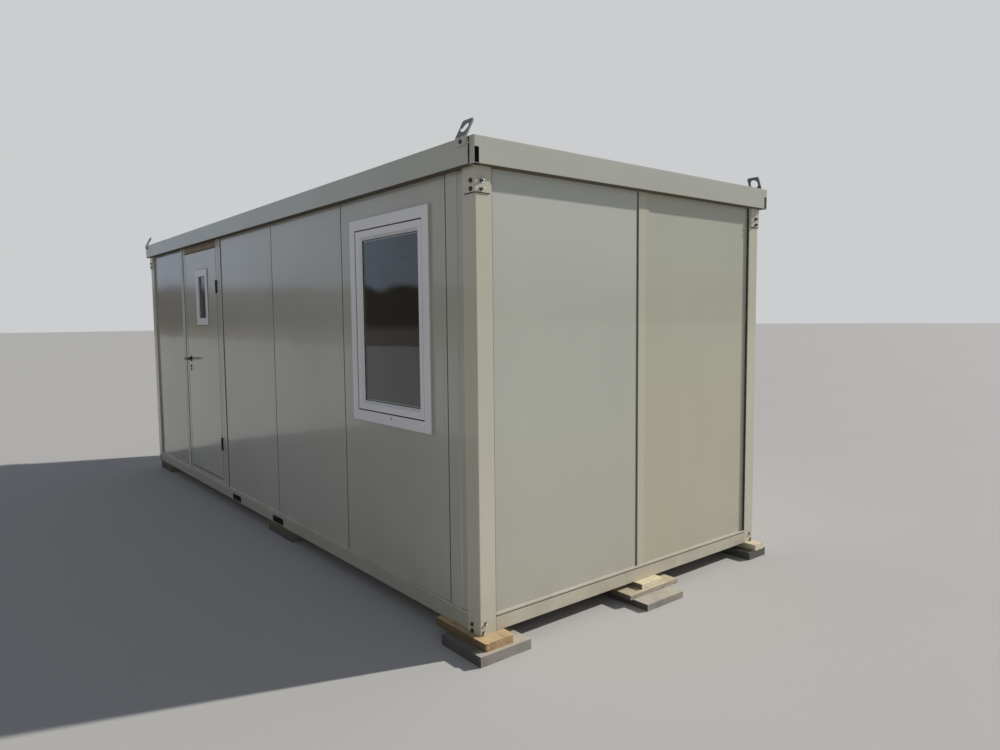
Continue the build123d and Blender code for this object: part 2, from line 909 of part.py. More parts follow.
def packers():
    """Timbers on pavers under the four corners, the middles of the ends and the right fork pocket."""
    low, top = paver_thickness, stack_height
    timbers, pavers = [], []
    for end, side in ((1, -1), (-1, 1)):
        board = corner_piece(corner_board, corner_board_out, low, top, end, side)
        worn = board.edges().filter_by(Axis.Z).sort_by(Axis.X, reverse=end > 0)[:2]
        timbers.append(fillet(worn, 14))
        pavers.append(corner_piece(corner_paver, corner_paver_out, 0, low, end, side))
    timbers.append(corner_piece(narrow_board, narrow_board_out, low, top, 1, 1))
    pavers.append(corner_piece(narrow_block, narrow_block_out, 0, low, 1, 1))
    inset = (-hidden_inset, -hidden_inset)
    timbers.append(corner_piece(narrow_board, inset, low, top, -1, -1))
    pavers.append(corner_piece(narrow_block, inset, 0, low, -1, -1))
    board_top = top - end_block_height
    slab_top = board_top - end_board_height
    for end in (1, -1):
        shift = end_stack_shift
        upper = end_piece(end_block, end_block_out, shift, board_top, top, end)
        lower = end_piece(end_board, end_board_out, shift + end_board_shift, slab_top, board_top, end)
        timbers.append(upper + lower)
        pavers.append(end_piece(end_slab, end_slab_out, shift + end_slab_shift, 0, slab_top, end))
    length, width = side_packer
    middle = pocket_spacing / 2
    for side in (-1, 1):
        y = half_width - side_packer_inset
        span = (middle - length / 2, middle + length / 2, side * y, side * (y - width))
        pavers.append(block(*span, 0, low))
        timbers.append(block(*span, low, top))
    return group(timbers), group(pavers)


def build():
    """Makes every piece and gives them by name."""
    pieces = {}
    pieces["base_beam_front"] = base_beam_long()
    pieces["base_beam_back"] = at_back(base_beam_long(), 1)
    pieces["base_beam_right"] = base_beam_end()
    pieces["base_beam_left"] = at_end(base_beam_end(), -1)
    pieces["fork_sleeves"] = group([fork_sleeve(pocket_spacing / 2), fork_sleeve(-pocket_spacing / 2)])
    pieces["floor_joists"] = floor_joists()
    pieces["floor_deck"] = floor_deck()
    pieces["floor_sills"] = floor_sills()
    corners = {"front_right": (1, -1), "back_right": (1, 1), "front_left": (-1, -1), "back_left": (-1, 1)}
    brackets = []
    for name, (end, side) in corners.items():
        pieces["column_" + name] = at_back(at_end(column(), end), side)
        pieces["lug_" + name] = at_back(at_end(lifting_lug(), end), side)
        brackets.append(at_back(at_end(corner_bracket(), end), side))
    pieces["corner_brackets"] = group(brackets)
    pieces["roof_beam_front"] = roof_beam_long()
    pieces["roof_beam_back"] = at_back(roof_beam_long(), 1)
    pieces["roof_beam_right"] = roof_beam_end()
    pieces["roof_beam_left"] = at_end(roof_beam_end(), -1)
    pieces["roof_purlins"] = roof_purlins()
    pieces["roof_sheet"] = roof_sheet()
    pieces["ceiling_panel"] = ceiling_panel()
    pieces["wall_front_window"] = window_panel()
    joints = [first_joint + i * panel_pitch for i in range(1, plain_panels + 2)]
    plain = [front_panel(start + joint_gap, end) for start, end in zip(joints, joints[1:])]
    pieces["wall_front_plain"] = group(plain)
    pieces["wall_front_far"] = far_panel()
    pieces["wall_front_fillers"] = group([corner_filler(), door_filler()])
    pieces["wall_right"] = group(end_wall_panels())
    pieces["wall_left"] = group([at_end(panel, -1) for panel in end_wall_panels()])
    pieces["wall_back"] = back_wall_panels()
    pieces["door_frame"] = door_frame()
    pieces["door_leaf"] = door_leaf()
    pieces["door_vision_frame"] = group([vision_half(False), vision_half(True)])
    pieces["door_vision_glass"] = vision_glass()
    halves = [hinge_halves(height) for height in hinge_heights]
    pieces["hinge_frame_halves"] = group([fixed for fixed, _ in halves])
    pieces["hinge_leaf_halves"] = group([moving for _, moving in halves])
    pieces["door_lever"] = door_lever()
    pieces["door_roses"] = door_roses()
    pieces["window_frame"] = window_frame()
    pieces["window_sash"] = window_sash()
    pieces["window_glass"] = window_glass()
    pieces["packing_timbers"], pieces["packing_pavers"] = packers()
    return pieces


for name, piece in build().items():
    export_step(one(piece), "parts/" + name + ".step")
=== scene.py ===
# %% [markdown]
# # A portable site cabin
#
# This lesson dresses a finished frame. The cabin's steel, panels, door and window come from the packed model, in
# metres, with +X along the cabin, -Y out of the wall with the door, and +Z up. Each cell adds a finish or a small
# piece that the frame leaves out, and prints what it made.

# %% Load the packed cabin
import json
import math
import bmesh
import bpy
import numpy as np
from mathutils import Matrix, Vector


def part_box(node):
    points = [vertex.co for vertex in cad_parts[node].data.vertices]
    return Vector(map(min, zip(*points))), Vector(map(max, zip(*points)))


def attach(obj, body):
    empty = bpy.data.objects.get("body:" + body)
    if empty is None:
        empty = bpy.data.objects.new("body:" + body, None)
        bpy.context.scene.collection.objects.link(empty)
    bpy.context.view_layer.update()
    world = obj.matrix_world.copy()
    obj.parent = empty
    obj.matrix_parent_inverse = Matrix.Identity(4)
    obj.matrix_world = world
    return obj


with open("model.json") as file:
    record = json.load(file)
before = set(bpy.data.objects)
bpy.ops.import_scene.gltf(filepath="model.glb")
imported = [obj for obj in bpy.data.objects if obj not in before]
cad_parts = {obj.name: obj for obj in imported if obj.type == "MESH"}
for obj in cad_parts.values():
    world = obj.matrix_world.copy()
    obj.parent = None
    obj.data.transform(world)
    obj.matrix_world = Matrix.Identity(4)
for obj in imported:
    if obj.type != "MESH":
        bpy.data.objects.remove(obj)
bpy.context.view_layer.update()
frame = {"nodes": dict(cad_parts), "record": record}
nodes = frame["nodes"]
column_low, column_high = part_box("column_front_right")
half_length, half_width = column_high.x, -column_low.y

# %% [markdown]
# ## The camera
#
# The photograph was taken from just outside the near corner, at eye height. Its place was worked out from the cabin's
# straight edges, so the camera stands there and turns by the same three angles. No lens shift is needed, because the
# view wasn't cropped off centre.

# %% Stand where the photograph was taken
CAMERA_PLACE = (5.7888, -3.2727, 1.6560)
CAMERA_YAW = 141.19
CAMERA_PITCH = -4.45
CAMERA_ROLL = -0.56
FOCAL_PIXELS = 720.2
PHOTO_WIDTH = 1000


def camera_turn(yaw, pitch, roll):
    """Rotation whose -Z looks along the yaw and pitch, with the horizon tipped by the roll; all in degrees."""
    yaw, pitch, roll = (math.radians(angle) for angle in (yaw, pitch, roll))
    forward = Vector((math.cos(pitch) * math.cos(yaw), math.cos(pitch) * math.sin(yaw), math.sin(pitch)))
    right = forward.cross(Vector((0, 0, 1))).normalized()
    up = right.cross(forward)
    tipped_right = math.cos(roll) * right + math.sin(roll) * up
    tipped_up = math.cos(roll) * up - math.sin(roll) * right
    return Matrix((tipped_right, tipped_up, -forward)).transposed()


camera_data = bpy.data.cameras.new("photo_camera")
camera_data.sensor_width = 36
camera_data.lens = FOCAL_PIXELS * camera_data.sensor_width / PHOTO_WIDTH
camera_data.clip_end = 400
camera = bpy.data.objects.new("photo_camera", camera_data)
camera.matrix_world = Matrix.Translation(CAMERA_PLACE) @ camera_turn(CAMERA_YAW, CAMERA_PITCH, CAMERA_ROLL).to_4x4()
bpy.context.scene.collection.objects.link(camera)
bpy.context.scene.camera = camera
print("camera at", CAMERA_PLACE, "lens", round(camera_data.lens, 2), "mm")

# %% [markdown]
# ## Finishes as sums
#
# A finish is a small program for a surface: it turns a place on the steel into a colour, a roughness and a height.
# It could be wired by hand in the shader editor, but then nobody can read it. Here a `Field` stands for one socket,
# so that dust can be written as `low * patchy`, and each sum adds the Math node that works it out.

# %% One class for a socket
class Field:
    """A value or colour that changes over a surface. A sum on it adds a Math node."""

    def __init__(self, recipe, socket):
        self.recipe = recipe
        self.socket = socket

    def math(self, operation, first, second=0.0):
        return self.recipe.node("ShaderNodeMath", {"operation": operation}, {0: first, 1: second})

    def __add__(self, other):
        return self.math("ADD", self, other)

    def __sub__(self, other):
        return self.math("SUBTRACT", self, other)

    def __rsub__(self, other):
        return self.math("SUBTRACT", other, self)

    def __mul__(self, other):
        return self.math("MULTIPLY", self, other)

    def __abs__(self):
        return self.math("ABSOLUTE", self)

    __radd__ = __add__
    __rmul__ = __mul__

    def below(self, limit):
        """1 where the value is under the limit, and 0 elsewhere."""
        return self.math("LESS_THAN", self, limit)

    def above(self, limit):
        """1 where the value is over the limit, and 0 elsewhere."""
        return self.math("GREATER_THAN", self, limit)

    def rise(self, start, end):
        """0 before start and 1 after end, smoothly between them; start may be the larger one."""
        settings = {"interpolation_type": "SMOOTHSTEP"}
        return self.recipe.node("ShaderNodeMapRange", settings, {"Value": self, "From Min": start, "From Max": end})


print("a field knows:", [name.strip("_") for name in vars(Field) if callable(vars(Field)[name])])

# %% [markdown]
# ## Any other node
#
# Noise, ramps and mixed colours aren't sums on numbers. A `Recipe` holds a node tree and adds any node with one
# method, which takes the node's type, its settings and what its sockets get. The methods after it give the common
# nodes a short name, so that a finish can be read from top to bottom.

# %% One class for a node tree
class Recipe:
    """A node tree, with one method that adds any node and a few that name the common ones."""

    def __init__(self, tree):
        self.tree = tree

    @staticmethod
    def pick(sockets, key):
        if isinstance(key, int):
            return sockets[key]
        named = [socket for socket in sockets if socket.identifier == key]
        return named[0] if named else sockets[key]

    def node(self, kind, settings=None, sockets=None, output=0):
        """Adds a node. Its settings are set first, then each named socket gets its value or its link."""
        made = self.tree.nodes.new(kind)
        for key, value in (settings or {}).items():
            if key == "stops":
                ramp = made.color_ramp.elements
                ramp.remove(ramp[1])
                ramp[0].position, ramp[0].color = value[0]
                for place, colour in value[1:]:
                    ramp.new(place).color = colour
            else:
                setattr(made, key, value)
        for key, value in (sockets or {}).items():
            socket = self.pick(made.inputs, key)
            if isinstance(value, Field):
                self.tree.links.new(value.socket, socket)
            else:
                socket.default_value = value
        return Field(self, self.pick(made.outputs, output))

    def mix(self, factor, low, high):
        """The low colour where the factor is 0, and the high one where it is 1."""
        sockets = {"Factor_Float": factor, "A_Color": low, "B_Color": high}
        return self.node("ShaderNodeMix", {"data_type": "RGBA"}, sockets, "Result_Color")

    def place(self):
        """Where a point lies on the cabin, in metres."""
        return self.node("ShaderNodeTexCoord", output="Object")

    def facing(self):
        """The three parts of the direction that a face looks along."""
        return self.along(self.node("ShaderNodeNewGeometry", output="Normal"))

    def along(self, place):
        """The three parts of a place as three fields."""
        split = self.node("ShaderNodeSeparateXYZ", sockets={0: place})
        return [Field(self, split.socket.node.outputs[i]) for i in range(3)]

    def noise(self, place, scale, detail=3.0, stretch=(1, 1, 1), shift=(0, 0, 0), rough=0.5):
        """Cloudy noise from 0 to 1. The stretch is a scale along each axis, so a small value draws it out."""
        mapped = self.node("ShaderNodeMapping", sockets={"Vector": place, "Scale": stretch, "Location": shift})
        sockets = {"Vector": mapped, "Scale": scale, "Detail": detail, "Roughness": rough}
        return self.node("ShaderNodeTexNoise", sockets=sockets, output=0)


print("a recipe knows:", [name for name in vars(Recipe) if not name.startswith("_")])

# %% [markdown]
# ## A material
#
# A `Finish` is a recipe whose tree belongs to a material with one Principled shader. A number that is the same all
# over the surface goes straight into the shader's socket, because a link to it can get lost when the model is
# exported. Many small things are one plain colour with a little wear, so `worn` makes those in one call.

# %% One class for a material
class Finish(Recipe):
    """A material made of one Principled shader; its constants are set on the shader's own sockets."""

    def __init__(self, name, **constants):
        self.material = bpy.data.materials.new(name)
        self.material.use_nodes = True
        super().__init__(self.material.node_tree)
        self.shader = self.tree.nodes["Principled BSDF"]
        self.set(**constants)

    def set(self, **values):
        """Sets or links the shader's sockets; Base_Color stands for Base Color."""
        for key, value in values.items():
            socket = self.shader.inputs[key.replace("_", " ")]
            if isinstance(value, Field):
                self.tree.links.new(value.socket, socket)
            else:
                socket.default_value = value

    def bump(self, height, distance, strength=1.0, under=None):
        """Turns a height field into a bump; under is a coarser bump that this one lies on."""
        sockets = {"Height": height, "Distance": distance, "Strength": strength}
        if under:
            sockets["Normal"] = under
        return self.node("ShaderNodeBump", sockets=sockets)


def shade(red, green, blue):
    """A colour with full alpha, from linear values."""
    return (red, green, blue, 1.0)


def worn(name, clean, marked, wear, rough, relief, **constants):
    """
    A plain finish with wear. The wear mask is noise that rises from 0 to 1 between two values. It mixes the clean
    colour with the marked one, and makes the surface duller. Wear is the noise's scale, detail and those two values,
    rough is the lowest roughness and what wear adds to it, and relief is the scale and detail of a finer noise and
    the height in metres and strength of its bump.
    """
    finish = Finish(name, **constants)
    spot = finish.place()
    scale, detail, start, end = wear
    mask = finish.noise(spot, scale, detail).rise(start, end)
    grain, grain_detail, height, strength = relief
    finish.set(
        Base_Color=finish.mix(mask, shade(*clean), shade(*marked)),
        Roughness=rough[0] + mask * rough[1],
        Normal=finish.bump(finish.noise(spot, grain, grain_detail), height, strength),
    )
    return finish


print("a finish adds:", [name for name in vars(Finish) if not name.startswith("_")])

# %% [markdown]
# ## Cream paint
#
# The real cabin is coil-coated steel: a smooth cream skin, glossy enough to mirror what is round it at a shallow
# angle. The sheet is never quite flat, so the mirror image swims a little, and the lowest part of the walls is dusty.
# A flat colour would look like plastic. The recipe keeps the colour almost even, and lets two bumps, one as broad as
# a panel and one as fine as orange peel, do most of the work. A roof beam also gets painted shade: its underside is
# dark and dull, and its top is darker and dull, which is dirt and painted shade and takes the sun's glint away.

# %% The painted steel recipe
DUST = shade(0.36, 0.31, 0.25)
DUST_FULL, DUST_TOP = 0.09, 0.55
# Painted shade under the roof beams, and dirt with painted shade on their tops.
SOFFIT_SHADE = shade(0.12, 0.10, 0.072)
ROOF_TOP_DIRT_AND_SHADE = shade(0.20, 0.19, 0.165)


def painted_steel(name, colour, roughness, waviness, dust=0.3, second=None, painted_shade_beneath=False, tints=()):
    """
    Coated sheet. The dust mask falls smoothly from 1 at DUST_FULL to 0 at DUST_TOP, is squared, and is broken up by
    patchy noise; rain streaks are noise drawn out along Z. The second colour is an axis, a place on it, the colour
    that the sheet has past that place, and how dull it is there. The flag after it paints shade: faces that look
    down turn dark and dull, and faces that look up turn darker and dull, which is dirt and painted shade. Each tint
    is a mask, made from x, y and z, and the colour under it.
    """
    paint = Finish(name, Coat_Roughness=0.04, IOR=1.5)
    place = paint.place()
    x, y, z = paint.along(place)
    cloud = paint.noise(place, 0.9, 2.0)
    patchy = paint.noise(place, 7.0, 5.0, shift=(3, 1, 0))
    streaks = paint.noise(place, 26.0, 3.0, stretch=(1, 1, 0.03)).rise(0.52, 0.75)
    pale = tuple(min(1.0, part * 1.04) for part in colour)
    deep = tuple(part * 0.95 for part in colour)
    tone = paint.mix(cloud.rise(0.3, 0.7), shade(*deep), shade(*pale))
    if second:
        axis, start, other, dull = second
        beyond = (x, y, z)[axis].above(start)
        tone = paint.mix(beyond, tone, paint.mix(cloud, shade(*other), shade(*(part * 1.06 for part in other))))
    for mask, tint in tints:
        tone = paint.mix(mask(x, y, z), tone, shade(*tint))
    low = z.rise(DUST_TOP, DUST_FULL)
    dusty = low * low * patchy.rise(0.25, 0.75) * dust
    run_marks = streaks * (0.05 + low * 0.12) * dust
    rough = roughness + dusty * 0.45 + patchy * 0.012 + run_marks * 0.2
    coat = 0.55 - dusty * 0.5
    if second:
        rough = rough + beyond * dull * 0.4
        coat = coat * (1 - beyond * dull)
    # Painted shade on faces that look down, and dirt with painted shade on faces that look up, which dims the sun on
    # them.
    if painted_shade_beneath:
        tilt = paint.facing()[2]
        soffit_shade = tilt.below(-0.5)
        tone = paint.mix(soffit_shade, tone, SOFFIT_SHADE)
        tone = paint.mix(tilt.rise(0.3, 0.8) * 0.85, tone, ROOF_TOP_DIRT_AND_SHADE)
        matt = soffit_shade + tilt.rise(0.05, 0.3)
        rough = rough + matt * 0.6
        coat = coat * (1 - matt)
    paint.set(Base_Color=paint.mix(dusty + run_marks, tone, DUST), Roughness=rough, Coat_Weight=coat)
    waves = paint.noise(place, 1.7, 1.0, stretch=(1, 1, 0.55))
    peel = paint.noise(place, 420.0, 2.0)
    paint.set(Normal=paint.bump(peel, 0.00003, 0.5, under=paint.bump(waves, waviness)))
    return paint


print("the paint recipe is ready, with dust up to", DUST_TOP, "m")

# %% [markdown]
# ## One paint for each kind of sheet
#
# All the sheets carry the same kind of paint, and they don't look alike. The frame is a little warmer than the
# panels, the base beams are dull from splashes, and the long ones are darker as well, which is painted shade. The far
# panel of the front wall is darker too, as painted shade and reflection. The end wall at +X is warmer low down and
# paler and bluer higher up, and the raised band beside its joint has a painted highlight; the end at -X gets a nearly
# plain tone. So the one recipe is mixed several times, and a tint keeps each of these where it belongs on the cabin.
# Over the door, between the uprights of the door's frame, lies brown painted shade and reflection. The far panel ends
# in a paler strip, and the lugs are darker and bluer above their fold, as painted shade and sky reflection.

# %% Mix the paints
PANEL = (0.51, 0.505, 0.455)
ROOF_BEAM = (0.50, 0.51, 0.45)
frame_paint = painted_steel("frame_paint", (0.61, 0.59, 0.485), 0.3, 0.0012)
# The long base beams are darker than the frame: painted shade near the ground.
shaded_long_base_paint = painted_steel("shaded_long_base_paint", (0.45, 0.44, 0.38), 0.34, 0.0012)
end_base_paint = painted_steel("end_base_paint", (0.59, 0.555, 0.44), 0.36, 0.0012, dust=0.4)
roof_paint = painted_steel("roof_beam_paint", ROOF_BEAM, 0.32, 0.0012, painted_shade_beneath=True)
panel_paint = painted_steel("panel_paint", PANEL, 0.16, 0.010)

FAR_STRIP_WIDTH, FAR_STRIP_PAINT = 0.108, (0.56, 0.55, 0.49)
far_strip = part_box("wall_front_far")[1].x - FAR_STRIP_WIDTH
# The far panel is darker than the others: painted shade and reflection.
far_shaded_paint = painted_steel(
    "far_panel_shaded_paint", (0.40, 0.395, 0.36), 0.14, 0.012, second=(0, far_strip, FAR_STRIP_PAINT, 0.6)
)

END_JOINT, JOINT_BAND = 1.110, 0.068
end_joint_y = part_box("wall_right")[0].y + END_JOINT
REAR_PANEL, HIDDEN_END = (0.505, 0.485, 0.362), (0.525, 0.525, 0.452)
end_tints = [
    (lambda x, y, z: y.below(end_joint_y) * z.rise(1.3, 0.5), (0.508, 0.50, 0.427)),
    (lambda x, y, z: y.below(end_joint_y) * z.rise(1.6, 2.2), (0.55, 0.572, 0.53)),
    (lambda x, y, z: y.above(end_joint_y) * z.rise(0.9, 2.2), (0.504, 0.52, 0.427)),
    # Painted highlight: the raised band beside the joint is lighter, where it catches the sun.
    (lambda x, y, z: y.above(end_joint_y) * y.below(end_joint_y + JOINT_BAND), (0.565, 0.55, 0.44)),
    (lambda x, y, z: x.below(0) * 0.85, HIDDEN_END),
]
end_paint = painted_steel(
    "end_panel_paint", (0.525, 0.54, 0.48), 0.26, 0.005, dust=0.25,
    second=(1, end_joint_y, REAR_PANEL, 0), tints=end_tints,
)

# Painted shade and reflection over the door: brown on the frame above the leaf, paler towards its far end, and dull
# there.
HEAD_SHADE, HEAD_SHADE_EDGE = (0.235, 0.165, 0.09), (0.27, 0.235, 0.13)
HEAD_SHADE_FADE, HEAD_SHADE_REACH, HEAD_STEP = 0.25, 0.01, 0.001
leaf_low, leaf_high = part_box("door_leaf")
head_line = leaf_high.z + HEAD_STEP
head_shade_tints = [
    (lambda x, y, z: z.above(head_line) * x.rise(leaf_low.x + HEAD_SHADE_FADE, leaf_low.x) * 0.6, HEAD_SHADE_EDGE),
    (lambda x, y, z: x.below(leaf_low.x - HEAD_SHADE_REACH) + x.above(leaf_high.x + HEAD_SHADE_REACH), PANEL),
]
door_paint = painted_steel("door_paint", PANEL, 0.16, 0.007)
door_frame_paint = painted_steel(
    "door_frame_paint", PANEL, 0.2, 0.004, second=(2, head_line, HEAD_SHADE, 0.9), tints=head_shade_tints
)

# Painted shade and sky reflection: the lug is darker and bluer above its fold.
LUG_FOLD, LUG_BLADE_SHADE = 2.507, (0.20, 0.24, 0.24)
lug_paint = painted_steel("lug_paint", ROOF_BEAM, 0.32, 0.0005, dust=0.1, second=(2, LUG_FOLD, LUG_BLADE_SHADE, 0.3))
paints = [frame_paint, shaded_long_base_paint, end_base_paint, roof_paint, panel_paint]
paints += [far_shaded_paint, end_paint, door_paint, door_frame_paint, lug_paint]
print("paints:", [finish.material.name for finish in paints])

# %% [markdown]
# ## White plastic, glass and black metal
#
# The window and the small door window are extruded white plastic, slightly blue beside the cream. Their panes look
# dark because the room behind them is dark, so real clear glass with a closed room behind it gives the same look, and
# the pane still works when the door stands open. The hinges and the handle are satin black.

# %% Plastic, glass, black
white_plastic = Finish("window_plastic", IOR=1.46)
spot = white_plastic.place()
grime = white_plastic.noise(spot, 9.0, 4.0).rise(0.45, 0.8)
white_plastic.set(
    Base_Color=white_plastic.mix(grime * 0.05, shade(0.88, 0.88, 0.92), shade(0.58, 0.56, 0.52)),
    Roughness=0.22 + grime * 0.06,
    Normal=white_plastic.bump(white_plastic.noise(spot, 300.0, 2.0), 0.00004, 0.4),
)

pane = Finish("pane_glass", IOR=1.62, Transmission_Weight=1.0)
spot = pane.place()
film = pane.noise(spot, 3.0, 5.0).rise(0.4, 0.85)
pane.set(
    Base_Color=pane.mix(film, shade(0.5, 0.56, 0.6), shade(0.42, 0.46, 0.48)),
    Roughness=0.012 + film * 0.02,
    Normal=pane.bump(pane.noise(spot, 1.3, 1.0), 0.0016),
)

satin_black = worn(
    "satin_black", (0.012, 0.012, 0.013), (0.035, 0.034, 0.033), wear=(60.0, 4.0, 0.5, 0.8), rough=(0.32, 0.2),
    relief=(900.0, 2.0, 0.00004, 0.5),
)
print("ready:", [finish.material.name for finish in (white_plastic, pane, satin_black)])

# %% [markdown]
# ## Rubber, sealant and dark linings
#
# Rubber in a gap is nearly black, and chalky where it has aged. The long strips between the wall panels get more
# light and dust, so they are a paler grey. The grey bead round the window frame, smeared light grey, is painted shade
# on the frame's side. A near-black lining that gives back almost no light is painted shade: it lies behind the open
# slots, in the gaps round the door leaf, under the brackets and in the drain hole.

# %% Rubber, sealant, lining
rubber = worn(
    "seal_rubber", (0.014, 0.014, 0.016), (0.05, 0.048, 0.046), wear=(35.0, 4.0, 0.4, 0.8), rough=(0.62, 0.2),
    relief=(500.0, 2.0, 0.0001, 0.6),
)
joint_rubber = worn(
    "joint_rubber", (0.055, 0.055, 0.052), (0.12, 0.115, 0.105), wear=(25.0, 4.0, 0.35, 0.75), rough=(0.7, 0.15),
    relief=(500.0, 2.0, 0.0001, 0.6),
)

# Painted shade: the grey bead covers the side of the window frame, which lies in shade.
grey_shade_sealant = Finish("grey_shade_sealant")
smear = grey_shade_sealant.noise(grey_shade_sealant.place(), 40.0, 4.0)
grey_shade_sealant.set(
    Base_Color=grey_shade_sealant.mix(smear, shade(0.46, 0.46, 0.43), shade(0.56, 0.555, 0.52)),
    Roughness=0.55 + smear * 0.2,
    Normal=grey_shade_sealant.bump(smear, 0.0004, 0.5),
)

# Painted shade: a near-black lining put where there is only shade.
shade_lining = Finish("painted_shade_lining")
shade_noise = shade_lining.noise(shade_lining.place(), 30.0, 4.0)
shade_lining.set(
    Base_Color=shade_lining.mix(shade_noise, shade(0.004, 0.004, 0.004), shade(0.014, 0.013, 0.012)),
    Roughness=0.85 + shade_noise * 0.1,
)
print("ready:", [finish.material.name for finish in (rubber, joint_rubber, grey_shade_sealant, shade_lining)])

# %% [markdown]
# ## Bare and primed steel
#
# The bolts are zinc plated. Most are dull and dark, and that dark colour is painted shade and dark reflection. Those
# on the end walls have a painted highlight on the faces that look along the cabin and painted shade on their other
# faces, so a mask on the direction of the face picks between the two. The roof is galvanised sheet with its leafy
# crystals, which are Voronoi cells, each with its own grey. The joists, the fork sleeves and the purlins have a thin
# dark primer.

# %% Zinc, galvanised roof, primer
# Dark colour of the dull bolts: painted shade and dark reflection.
zinc = worn(
    "dull_shaded_zinc", (0.10, 0.096, 0.09), (0.045, 0.04, 0.035), wear=(70.0, 4.0, 0.4, 0.75), rough=(0.38, 0.25),
    relief=(700.0, 2.0, 0.00008, 0.5), Metallic=0.6,
)
bright_zinc = worn(
    "bright_zinc", (0.85, 0.84, 0.80), (0.40, 0.36, 0.30), wear=(70.0, 4.0, 0.5, 0.85), rough=(0.22, 0.25),
    relief=(700.0, 2.0, 0.00008, 0.5), Metallic=0.9,
)

end_zinc = Finish("end_bolt_zinc", Metallic=0.7)
spot = end_zinc.place()
# Painted highlight on the faces that look along the cabin, and painted shade on the others.
sunlit_faces = abs(end_zinc.facing()[0]).above(0.8)
side_shade = end_zinc.mix(end_zinc.noise(spot, 90.0, 3.0), shade(0.016, 0.015, 0.014), shade(0.05, 0.045, 0.04))
end_zinc.set(Base_Color=end_zinc.mix(sunlit_faces, side_shade, shade(0.93, 0.92, 0.88)), Roughness=0.55 - sunlit_faces * 0.1)

galvanised = Finish("galvanised_roof", Metallic=0.8)
spot = galvanised.place()
crystal = galvanised.node("ShaderNodeTexVoronoi", sockets={"Vector": spot, "Scale": 55.0}, output="Color")
grey = galvanised.along(crystal)[0]
rain = galvanised.noise(spot, 2.2, 5.0).rise(0.35, 0.8)
dulled = galvanised.mix(grey * 0.6, shade(0.46, 0.47, 0.48), shade(0.62, 0.63, 0.64))
galvanised.set(
    Base_Color=galvanised.mix(rain * 0.5, dulled, shade(0.36, 0.33, 0.29)),
    Roughness=0.34 + grey * 0.12 + rain * 0.2,
    Normal=galvanised.bump(grey, 0.00005, 0.4),
)

primer = worn(
    "grey_primer", (0.075, 0.074, 0.072), (0.14, 0.115, 0.095), wear=(12.0, 5.0, 0.45, 0.75), rough=(0.6, 0.2),
    relief=(200.0, 3.0, 0.00015, 0.5),
)
print("ready:", [finish.material.name for finish in (zinc, bright_zinc, end_zinc, galvanised, primer)])

# %% [markdown]
# ## Floor board and ceiling
#
# The floor is film-faced plywood and the ceiling a white facing. They show only through the door and the panes, so
# both stay simple: a fibre drawn out along the sheets with scuffs on it, and a faint haze.

# %% Floor board and ceiling facing
deck = Finish("faced_plywood")
spot = deck.place()
fibre = deck.noise(spot, 30.0, 5.0, stretch=(0.08, 1, 1))
scuff = deck.noise(spot, 6.0, 6.0).rise(0.5, 0.8)
deck.set(
    Base_Color=deck.mix(scuff * 0.6, deck.mix(fibre, shade(0.17, 0.10, 0.06), shade(0.27, 0.17, 0.10)), DUST),
    Roughness=0.36 + scuff * 0.3,
    Normal=deck.bump(fibre, 0.0003, 0.5),
)

facing = Finish("white_facing")
spot = facing.place()
haze = facing.noise(spot, 1.6, 3.0)
facing.set(
    Base_Color=facing.mix(haze, shade(0.72, 0.72, 0.69), shade(0.79, 0.79, 0.76)),
    Roughness=0.42 + haze * 0.1,
    Normal=facing.bump(facing.noise(spot, 150.0, 2.0), 0.0001, 0.5),
)
print("ready:", [finish.material.name for finish in (deck, facing)])

# %% [markdown]
# ## Packing timber
#
# The packers are softwood offcuts with plain grain, which is noise drawn out along the board and folded into rings by
# taking only its fraction. The boards under the middles of the ends lie across the cabin, so there the grain runs
# along Y, and a mask picks between the two. Three woods differ in age: tan, cream and greyed. Sides that look to the
# front, away from the sun, get painted shade, and tops get a painted highlight of sunlight.

# %% Packing timber
timber = Finish("packing_timber")
spot = timber.place()
x, y, z = timber.along(spot)
END_STACK_REACH, END_BOARD_TOP = 0.72, 0.0645
FAR_CORNER_X, FAR_CORNER_Y = 2.0, 1.0
under_ends = abs(y).below(END_STACK_REACH)
low_board = under_ends * z.below(END_BOARD_TOP)
pale_block = under_ends * z.above(END_BOARD_TOP)
far_corner = y.above(FAR_CORNER_Y) * x.above(FAR_CORNER_X)
along_x = timber.noise(spot, 22.0, 6.0, stretch=(0.09, 1, 1.6))
along_y = timber.noise(spot, 22.0, 6.0, stretch=(1, 0.09, 1.6))
grain = along_x * (1 - under_ends) + along_y * under_ends
rings = timber.node("ShaderNodeMath", {"operation": "FRACT"}, {0: grain * 7.0})
weather = timber.noise(spot, 5.0, 5.0).rise(0.4, 0.75)
TAN = [(0.0, shade(0.56, 0.39, 0.19)), (0.55, shade(0.48, 0.32, 0.15)), (0.9, shade(0.29, 0.18, 0.08))]
CREAM = [(0.0, shade(0.86, 0.79, 0.61)), (0.6, shade(0.79, 0.71, 0.53)), (0.9, shade(0.55, 0.46, 0.31))]
GREYED = [(0.0, shade(0.52, 0.46, 0.38)), (0.6, shade(0.44, 0.385, 0.32)), (0.9, shade(0.26, 0.22, 0.175))]
tan, cream, greyed = (
    timber.node("ShaderNodeValToRGB", {"stops": stops}, {"Fac": rings}) for stops in (TAN, CREAM, GREYED)
)
wood = timber.mix(low_board, timber.mix(pale_block + far_corner, tan, cream), greyed)
# Painted shade on the sides that look to the front.
shaded_side = timber.facing()[1].below(-0.7) * y.below(0)
weathered_and_sunlit = timber.mix(weather * (1 - pale_block) * 0.4, wood, shade(0.33, 0.29, 0.24))
